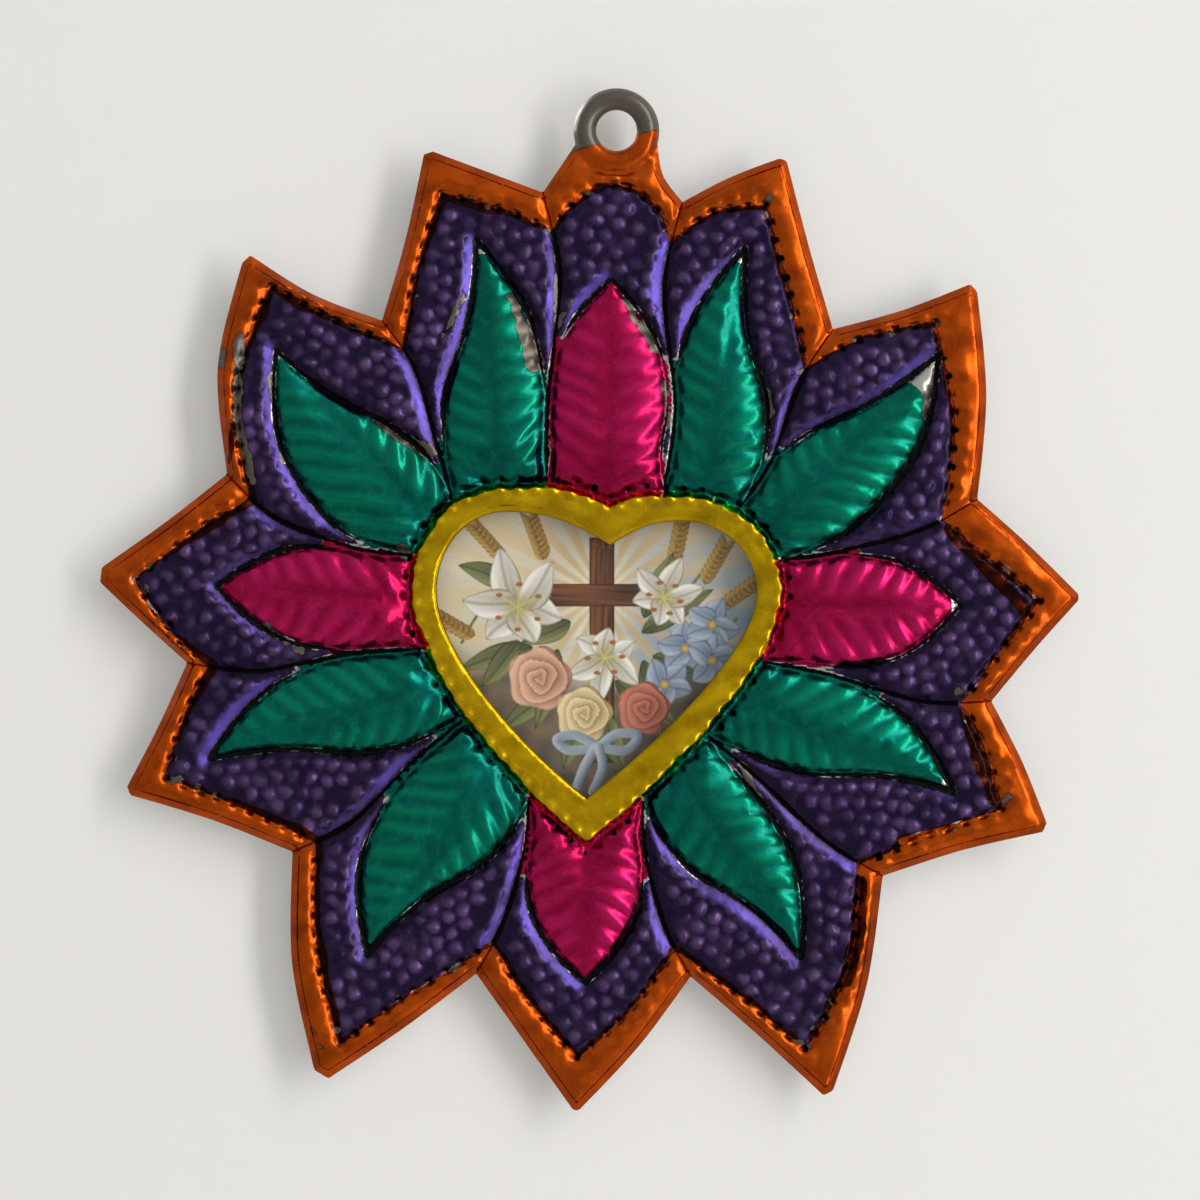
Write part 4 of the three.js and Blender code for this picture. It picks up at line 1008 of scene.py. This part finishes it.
def skin(name, rows):
    """A solid over rows of as many points each, (x, z, height), closed at both ends."""
    count = len(rows[0])
    ring = np.arange(count)
    turned = np.roll(ring, -1)
    quads = [
        np.column_stack([k + ring, k + turned, k + count + turned, k + count + ring])
        for k in range(0, (len(rows) - 1) * count, count)]
    caps = [ring[None, ::-1], (len(rows) - 1) * count + ring[None]]
    return build(name, in_frame(np.vstack(rows)), [np.vstack(quads), *caps])


# The strip's section, (outwards, depth), with its corners worn off
wall_section = np.array([
    (EDGE_WEAR, WALL_FRONT), (WALL_THICKNESS - EDGE_WEAR, WALL_FRONT),
    (WALL_THICKNESS, WALL_FRONT + EDGE_WEAR), (WALL_THICKNESS, WALL_REAR - EDGE_WEAR),
    (WALL_THICKNESS - EDGE_WEAR, WALL_REAR), (EDGE_WEAR, WALL_REAR),
    (0, WALL_REAR - EDGE_WEAR), (0, WALL_FRONT + EDGE_WEAR)])
wall_line = heart_line(WALL_MARGIN)
start = int(np.argmin(wall_line[:, 1]))
wall_line = evenly(np.vstack([wall_line[start:], wall_line[: start + 1]]), WALL_STEP)
inwards = wall_line[1] - wall_line[0], wall_line[-2] - wall_line[-1]
wall_line[0] += inwards[0] * (SEAM_GAP / 2 + WALL_THICKNESS) / WALL_STEP
wall_line[-1] += inwards[1] * (SEAM_GAP / 2 + WALL_THICKNESS) / WALL_STEP
niche_wall = skin("bent_wall", [
    np.column_stack([place + side * wall_section[:, :1], -wall_section[:, 1]])
    for place, side in zip(wall_line, sideways(np.gradient(wall_line, axis=0)))])

# Bare tinplate: a clean grey metal with a faint grain, mirror-like in places and smeared dull by fingers.
material, tree = new_material("bare_tinplate")
where = add(tree, "TexCoord").outputs["Object"]
grain = add(tree, "TexNoise", {"Vector": where, "Scale": 1000 / 7, "Detail": 5})
handled = add(tree, "TexNoise", {"Vector": where, "Scale": 1000 / 22, "Detail": 4, "Distortion": 1.2})
tin = add(tree, "Mix", {0: grain, 6: linear("#A5A4A0"), 7: linear("#C4C2BD")}, data_type="RGBA")
smears = add(tree, "MapRange", {"Value": handled, "From Min": 0.45, "From Max": 0.7})
worn = add(tree, "Mix", {0: smears, 6: tin, 7: linear("#8F8B84")}, data_type="RGBA")
rough = add(tree, "MapRange", {"Value": handled, "To Min": 0.2, "To Max": 0.5})
ripple = add(tree, "Bump", {"Height": grain, "Distance": 0.0002, "Strength": 0.5})
shader = add(tree, "BsdfPrincipled", {
    "Base Color": worn, "Metallic": 1.0, "Roughness": rough, "Normal": ripple})
add(tree, "OutputMaterial", {"Surface": shader})
bare_tinplate = material
niche_wall.data.materials.append(bare_tinplate)
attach(niche_wall, "root")
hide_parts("niche_wall")

# Back plate: a heart cut from the same tinplate. It is laid on the wall's rear edge to close the niche, and
# only the straps hold it.

PLATE_REAR = 5.3


def flat_piece(name, loop, points, faces, front, back):
    """A flat sheet with a given net of points on its front, a plain back and edges between."""
    count, whole = len(loop), len(points)
    turn = np.roll(np.arange(count), -1)
    places = np.vstack([
        np.column_stack([points, np.full(whole, -front)]), np.column_stack([loop, np.full(count, -back)])])
    edge = np.column_stack([np.arange(count), whole + np.arange(count), whole + turn, turn])
    rear = triangulate(loop, [loop])[:, ::-1] + whole
    rim = [(np.arange(count), turn), (whole + np.arange(count), turn)]
    return build(name, in_frame(places), [np.vstack([faces, rear]), edge], rim)


plate_edge = evenly(closed(heart_line(WALL_MARGIN + WALL_THICKNESS)), 0.8)[:-1]
plate = flat_piece(
    "closing_plate", plate_edge, plate_edge, triangulate(plate_edge, [plate_edge]), WALL_REAR, PLATE_REAR)
plate.data.materials.append(bare_tinplate)
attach(plate, "root")
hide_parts("back_plate")

# Straps: four snipped strips of tinplate, each soldered by its foot to the outside of the wall and bent over
# the plate with pliers. They keep the niche closed and let it be opened again.

STRAP_THICKNESS = 0.3
STRAP_LEG = 4
STRAP_BEND = 0.5
INNER_BEND = 0.2
LEG_WEAR = 0.06
# How much the snipped ends are rounded: shares of the strip's width, and how far it stops short there
STRAP_CUT = ((0, 0.55), (0.12, 0.1), (0.3, 0), (0.7, 0.04), (0.9, 0.2), (1, 0.6))

strap_rear, leg_end = PLATE_REAR + STRAP_THICKNESS, WALL_REAR - STRAP_LEG
turn = np.linspace(0, math.pi / 2, 7)
outer_bend = np.column_stack([STRAP_BEND * (np.cos(turn) - 1), strap_rear + STRAP_BEND * (np.sin(turn) - 1)])
inner_bend = np.column_stack([
    -STRAP_THICKNESS + INNER_BEND * (np.cos(turn[::-1]) - 1),
    PLATE_REAR + INNER_BEND * (np.sin(turn[::-1]) - 1)])
for number in range(1, 5):
    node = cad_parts[f"strap_{number}"]
    corners = np.array([node.matrix_world @ vertex.co for vertex in node.data.vertices]) * 1000
    rear = corners[corners[:, 1] > corners[:, 1].max() - 0.05].round(3)
    rear = np.unique(rear, axis=0)[:, (0, 2)] + ring_middle
    outward = rear[np.argsort(-np.linalg.norm(rear - (0, -2), axis=1))]
    first, last = outward[:2]
    if (last - first) @ left_of(np.zeros(2), (first + last) / 2) > 0:
        first, last = last, first
    side = left_of(first, last)
    side = side if side @ (first + last) > 0 else -side
    foot = ((outward[2:] - first) @ side).min()
    section = np.vstack([
        (-STRAP_THICKNESS, leg_end + LEG_WEAR), (-STRAP_THICKNESS + LEG_WEAR, leg_end),
        (-LEG_WEAR, leg_end), (0, leg_end + LEG_WEAR), outer_bend,
        (foot + 0.1, strap_rear), (foot, PLATE_REAR + 0.2), (foot, PLATE_REAR), inner_bend])
    rows = []
    for share, short in STRAP_CUT:
        row = section.copy()
        row[row[:, 0] < foot + 0.5, 0] += short
        row[row[:, 1] < leg_end + 0.1, 1] += 0.5 * short
        rows.append(np.column_stack([first + (last - first) * share + side * row[:, :1], -row[:, 1]]))
    strap = skin(f"bent_strap_{number}", rows)
    strap.data.materials.append(bare_tinplate)
    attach(strap, "root")
    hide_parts(f"strap_{number}")

# Solder: soft tin solder, run into the corner between wall and band, over the wall's seam and under the feet
# of the straps, where it set in smooth fillets. Their faceted shapes are kept.

# Set solder: a darker and duller grey than the tinplate, with fine dimples from cooling.
material, tree = new_material("soft_solder")
where = add(tree, "TexCoord").outputs["Object"]
grain = add(tree, "TexNoise", {"Vector": where, "Scale": 1000 / 0.8, "Detail": 3})
tin = add(tree, "Mix", {0: grain, 6: linear("#8B8B8C"), 7: linear("#A9A9AA")}, data_type="RGBA")
ripple = add(tree, "Bump", {"Height": grain, "Distance": 0.0001, "Strength": 0.7})
shader = add(tree, "BsdfPrincipled", {"Base Color": tin, "Metallic": 1.0, "Roughness": 0.35, "Normal": ripple})
add(tree, "OutputMaterial", {"Surface": shader})
for name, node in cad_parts.items():
    if "solder" in name:
        node.data.materials.clear()
        node.data.materials.append(material)

# Picture card: a print on smooth card, cut to the heart and laid behind the window. It shows a wooden cross
# among lilies, roses and ears of wheat under a pale sky with rays of light, tied below with a grey ribbon.

CARD_MARGIN = 1.85
CARD_FRONT = 3.15
CARD_BACK = 3.5
PRINT_STEP = 0.2

card_edge = evenly(closed(heart_line(CARD_MARGIN)), 0.6)[:-1]
spots = spread([card_edge], [], 0, PRINT_STEP)
picture = flat_piece(
    "printed_picture", card_edge, spots, triangulate(spots, [card_edge]), CARD_FRONT, CARD_BACK)


def brush(mask, colour):
    """Lays a printed colour, or a mix of two at each spot, over the print so far."""
    canvas[:] += mask[:, None] * (colour - canvas)


def mix(dark, light, share):
    """Two printed colours mixed by a share at each place."""
    share = np.clip(share, 0, 1)[:, None]
    return np.array(linear(dark)[:3]) * (1 - share) + np.array(linear(light)[:3]) * share


def printed_petal(root, direction, length, width, dark, light):
    """A petal or leaf from its root, lit from the left and creased along its middle."""
    way = polar(1, direction)
    off = spots - np.array(root)
    u = off @ way / length
    beyond = (u <= 0) | (u >= 1)
    u = np.clip(u, 0, 1)
    v = (off[:, 0] * way[1] - off[:, 1] * way[0]) / (width / 2)
    v = v + 0.25 * np.sin(3 * u + direction)
    room = np.where(beyond, -1, (np.sin(np.pi * u**0.8) ** 0.8 - np.abs(v)) * width / 2)
    tone = 0.35 + 0.45 * u - 0.3 * v + 0.2 * np.cos(9 * v) * (1 - u) - 0.5 * bell(v, 0.13)
    tone -= 0.5 * (1 - soft_step(room, 0, 0.35))
    brush(soft_step(room, -0.1, 0.1), mix(dark, light, tone))


def printed_lily(middle, reach, turn):
    """An open lily: six petals, the three behind first, a warm throat and six stamens."""
    for k in (0, 2, 4, 1, 3, 5):
        direction = turn + 60 * k
        length = reach * (0.82 + 0.18 * math.cos(math.radians(direction - turn)))
        printed_petal(middle, direction, length, reach * 0.5, "#8F8468", "#FBF8EE")
    throat = bell(np.linalg.norm(spots - middle, axis=1), 0.2 * reach)
    brush(0.75 * throat, mix("#A8A050", "#A8A050", throat))
    for k in range(6):
        end = np.array(middle) + polar(0.36 * reach, turn + 60 * k + 22)
        from_tip = np.linalg.norm((spots - end) * (1, 1.5), axis=1)
        printed_stem([middle, end], 0.14, "#B5A860", "#D8CE90")
        brush(1 - soft_step(from_tip, 0.45, 0.65), mix("#7A3C10", "#B8702A", 0.9 - from_tip))


def printed_rose(middle, radius, dark, light):
    """A rose seen from above, its petals wound round the middle."""
    off = spots - np.array(middle)
    r, angle = np.linalg.norm(off, axis=1) / radius, np.arctan2(off[:, 1], off[:, 0])
    wound = 3.4 * r**0.85 - angle / (2 * np.pi) + 0.16 * np.sin(3 * angle + 6 * r)
    tone = 0.1 + 0.75 * (wound % 1) ** 0.8 + 0.25 * r - 0.25 * off[:, 0] / radius
    rim = (1 + 0.07 * np.sin(5 * angle + 1) - r) * radius
    tone -= 0.4 * (1 - soft_step(rim, 0, 0.4))
    brush(soft_step(rim, -0.1, 0.1), mix(dark, light, tone))


def printed_stem(points, half, dark, light):
    """A stem, a strip of ribbon or another long thing, lit from the left."""
    line = smooth_through(points, 0.1)
    away, near = nearest(spots, line)
    side = (spots[:, 0] - line[near, 0]) / half
    brush(soft_step(half - away, -0.08, 0.08), mix(dark, light, 0.5 - 0.5 * side))


# The print, from its sky to the flowers in front
x, z = spots.T
canvas = mix("#8497A8", "#D9CFB4", 0.6 - 0.024 * x + 0.016 * z + 0.3 * waver(spots, 16, 71))
cloud = waver(spots * (0.6, 1), 8, 72) + 0.5 * waver(spots * (0.6, 1), 3.5, 73)
brush(0.5 * soft_step(cloud, 0.1, 0.9), mix("#EDE4D2", "#EDE4D2", z))
off = spots - (1.5, 6)
reach, angle = np.linalg.norm(off, axis=1), np.arctan2(off[:, 1], off[:, 0])
ray = 0.5 + 0.5 * np.cos(22 * angle + 0.8 * waver(spots, 30, 74))
shine = np.exp(-reach / 17) * soft_step(ray, 0.25, 0.75) * (reach > 2)
brush(shine, mix("#9E6A1C", "#E2BC68", reach / 17))
brush(0.7 * bell(reach, 6), mix("#F7EBC4", "#F7EBC4", reach))
ground = soft_step(-z + 0.25 * np.abs(x) + 1.5 * waver(spots, 6, 76), 6, 13)
brush(0.85 * ground, mix("#2A1C10", "#6A5230", 0.5 + 0.5 * waver(spots, 2.5, 77)))
for points in (
        [(-22, -2), (-19, 3), (-14, 6)], [(24, 2), (20, -2), (14, -5)], [(20, 12), (16, 7), (12, 2)]):
    printed_stem(points, 0.25, "#4C5230", "#8A8C54")
for half, points in ((2.1, [(1.5, 13.5), (1.5, -20)]), (1.9, [(-8, 6), (11, 6)])):
    start, end = np.array(points, float)
    way = (end - start) / np.linalg.norm(end - start)
    along = np.clip((spots - start) @ way, 0, np.linalg.norm(end - start))[:, None]
    near = start + along * way
    away = np.abs(spots - near).max(1)
    wood = 0.5 + 0.4 * waver((spots - near) * 6 + along * 0.3, 3, 75)
    wood -= 0.3 * (x - near[:, 0]) / half
    wood = np.where(half - away < 0.3, wood - 0.55, wood)
    brush(soft_step(half - away, -0.06, 0.06), mix("#2E170C", "#83502A", wood))
for middle, direction in (
        ((18.5, 8), 30), ((21.5, 4), 55), ((13.5, 11), 12),
        ((-20, -1), 300), ((-8, 12), 340), ((-15, 12), 318)):
    for k in range(8):
        grain = np.array(middle) + polar(k * 0.95, direction)
        for lean in (-32, 32):
            printed_petal(grain, direction + lean, 2.5, 1.1, "#7A5218", "#E0BC66")
for root, direction, length in (
        ((-10, -3), 255, 13), ((-8, 0), 318, 14), ((10, -4), 98, 14), ((8, 0), 62, 14),
        ((4, -8), 130, 14), ((-5, -8), 228, 14), ((9, 2), 20, 12), ((-13, 8), 285, 10),
        ((2, -14), 160, 10), ((-1, -14), 205, 10), ((-6, -3), 195, 14), ((8, -5), 165, 14),
        ((-12, -2), 225, 10), ((14, -2), 130, 10), ((-4, 2), 240, 9)):
    printed_petal(root, direction, length, 3.8, "#2C351A", "#8E925A")
for turn, middle in ((0, (15.5, -3)), (25, (20, 1)), (40, (12, -9)), (10, (20, -5))):
    for k in range(5):
        printed_petal(middle, turn + 72 * k, 4.8, 4, "#4C6076", "#B4C2D0")
    heart = np.linalg.norm(spots - middle, axis=1)
    brush(1 - soft_step(heart, 0.6, 0.9), mix("#8C6A2C", "#D8B868", 1 - heart))
printed_lily((-12.5, 4), 10.5, 340)
printed_lily((12, 5.5), 7.5, 20)
printed_lily((2, -4.5), 8, 185)
printed_rose((-9, -8), 5.2, "#7E3E2A", "#E6B898")
printed_rose((8.5, -13), 4.3, "#64201A", "#CC7C62")
printed_rose((-1.5, -14), 4.6, "#86602C", "#EBD6A4")
for points in ([(1, -19.5), (-3, -17.5), (-6, -18.2), (-4, -20), (1, -19.5)],
               [(1, -19.5), (4, -17.3), (7.5, -17.6), (5.5, -20), (1, -19.5)],
               [(0.5, -19.5), (-1.5, -23), (-2.6, -26)], [(1, -19.5), (1.6, -23), (0, -27)]):
    printed_stem(points, 0.8, "#4E6072", "#BEC8D2")
print_colours = np.full((len(picture.data.vertices), 4), linear("#C9C2B2"))
print_colours[: len(spots), :3] = np.clip(canvas, 0, 1)
layer = picture.data.attributes.new("print", "FLOAT_COLOR", "POINT")
layer.data.foreach_set("color", print_colours.astype(np.float32).ravel())

# Printed card: soft inks on smooth white card, whose fibres show as a faint grain, with a slight sheen.
material, tree = new_material("printed_card")
inks = add(tree, "Attribute", attribute_name="print").outputs["Color"]
where = add(tree, "TexCoord").outputs["Object"]
fibres = add(tree, "TexNoise", {"Vector": where, "Scale": 1000 / 0.4, "Detail": 3})
grain = add(tree, "Mix", {0: fibres, 6: linear("#E4E4E4"), 7: linear("#FFFFFF")}, data_type="RGBA")
inked = add(tree, "Mix", {0: 1.0, 6: inks, 7: grain}, data_type="RGBA", blend_type="MULTIPLY")
shader = add(tree, "BsdfPrincipled", {"Base Color": inked, "Roughness": 0.45, "IOR": 1.5})
add(tree, "OutputMaterial", {"Surface": shader})
picture.data.materials.append(material)
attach(picture, "root")
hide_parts("picture_card")

# Backing board: a heart cut from grey board. It lies loose behind the card, which it keeps flat, and its
# faceted shape is kept.

# Grey board: dull and brownish, with the specks of its coarse pulp.
material, tree = new_material("grey_board")
where = add(tree, "TexCoord").outputs["Object"]
fibres = add(tree, "TexNoise", {"Vector": where, "Scale": 1000 / 0.5, "Detail": 4})
tone = add(tree, "Mix", {0: fibres, 6: linear("#857B6D"), 7: linear("#A59A8A")}, data_type="RGBA")
shader = add(tree, "BsdfPrincipled", {"Base Color": tone, "Roughness": 0.9})
add(tree, "OutputMaterial", {"Surface": shader})
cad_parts["backing_board"].data.materials.clear()
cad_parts["backing_board"].data.materials.append(material)

# Wall, floor, light and camera: the flower hangs on a plain pale wall over a pale floor, beside a tall window
# whose daylight makes each raised part bright on its right. The wall shows from the front only, so that the
# back can be seen.

WALL_AT = 0.0058
FLOOR_AT = -0.9
FLOOR_GLOW = 0.85


def plane(name, middle, across, up):
    """A flat sheet from its middle, with half its width and half its height."""
    middle, across, up = Vector(middle), Vector(across), Vector(up)
    corners = [middle - across - up, middle + across - up, middle + across + up, middle - across + up]
    made = build(name, np.array(corners), [np.array([[0, 1, 2, 3]])])
    return made


backdrop = plane("wall_behind", (0, WALL_AT, -0.08), (8, 0, 0), (0, 0, 8))

# Wall paint: matt and nearly white, so that the flower's own shadow is the only thing on it.
material, tree = new_material("pale_wall")
side = add(tree, "NewGeometry")
ray = add(tree, "LightPath")
hidden = add(tree, "Math", {0: 1.0, 1: ray.outputs["Is Camera Ray"]}, operation="SUBTRACT")
open_side = add(tree, "Math", {0: side.outputs["Backfacing"], 1: hidden}, operation="MAXIMUM")
paint = add(tree, "BsdfDiffuse", {"Color": linear("#E8E6E3")})
clear = add(tree, "BsdfTransparent")
shown = add(tree, "MixShader", {0: open_side, 1: paint, 2: clear})
add(tree, "OutputMaterial", {"Surface": shown})
backdrop.data.materials.append(material)
floor = plane("pale_floor", (0, 0, FLOOR_AT), (30, 0, 0), (0, 30, 0))

# Floor paint: an even light grey. Part of what a camera sees of it glows, so that no lamp's pool lies on it.
material, tree = new_material("pale_floor")
ray = add(tree, "LightPath")
share = add(tree, "Math", {0: ray.outputs["Is Camera Ray"], 1: FLOOR_GLOW}, operation="MULTIPLY")
paint = add(tree, "BsdfDiffuse", {"Color": linear("#D8D6D3")})
plain = add(tree, "Emission", {"Color": linear("#D8D6D3")})
seen = add(tree, "MixShader", {0: share, 1: paint, 2: plain})
add(tree, "OutputMaterial", {"Surface": seen})
floor.data.materials.append(material)

# The room's own light, which is stronger from the right
world = bpy.data.worlds.new("studio")
bpy.context.scene.world = world
world.use_nodes = True
tree = world.node_tree
tree.nodes.clear()
where = add(tree, "TexCoord")
facing = add(tree, "SeparateXYZ", {0: where.outputs["Generated"]})
level = add(tree, "MapRange", {
    "Value": facing.outputs["X"], "From Min": -1, "From Max": 1, "To Min": 0.56, "To Max": 0.94})
sky = add(tree, "Background", {"Color": linear("#FFFFFF"), "Strength": level})
add(tree, "OutputWorld", {"Surface": sky})


def lamp(name, towards_it, away, size, power):
    """A soft rectangular lamp that faces the flower from a direction."""
    light = bpy.data.lights.new(name, "AREA")
    light.shape = "RECTANGLE"
    light.size, light.size_y = size
    light.energy = power
    made = bpy.data.objects.new(name, light)
    bpy.context.scene.collection.objects.link(made)
    aim = Vector((-0.003, 0, -0.083))
    made.location = aim + Vector(towards_it).normalized() * away
    made.rotation_euler = (aim - made.location).to_track_quat("-Z", "Y").to_euler()


lamp("window_light", (1, -0.8, 0.28), 1.6, (0.32, 2.3), 17)
lamp("rear_light", (-0.9, 1, 0.7), 0.9, (0.4, 0.4), 4)

# The camera looks level at the flower, from where a view 200 mm wide fills its frame
VIEW_WIDTH = 200
LENS = 100
SENSOR_WIDTH = 36
CAMERA_AWAY = VIEW_WIDTH / SENSOR_WIDTH * LENS / 1000
camera_data = bpy.data.cameras.new("camera")
camera_data.lens = LENS
camera_data.sensor_width = SENSOR_WIDTH
camera = bpy.data.objects.new("camera", camera_data)
camera.location = (-0.00275, -CAMERA_AWAY, -0.07825)
camera.rotation_euler = (math.pi / 2, 0, 0)
bpy.context.scene.collection.objects.link(camera)
bpy.context.scene.camera = camera
bpy.context.scene.view_settings.view_transform = "Standard"
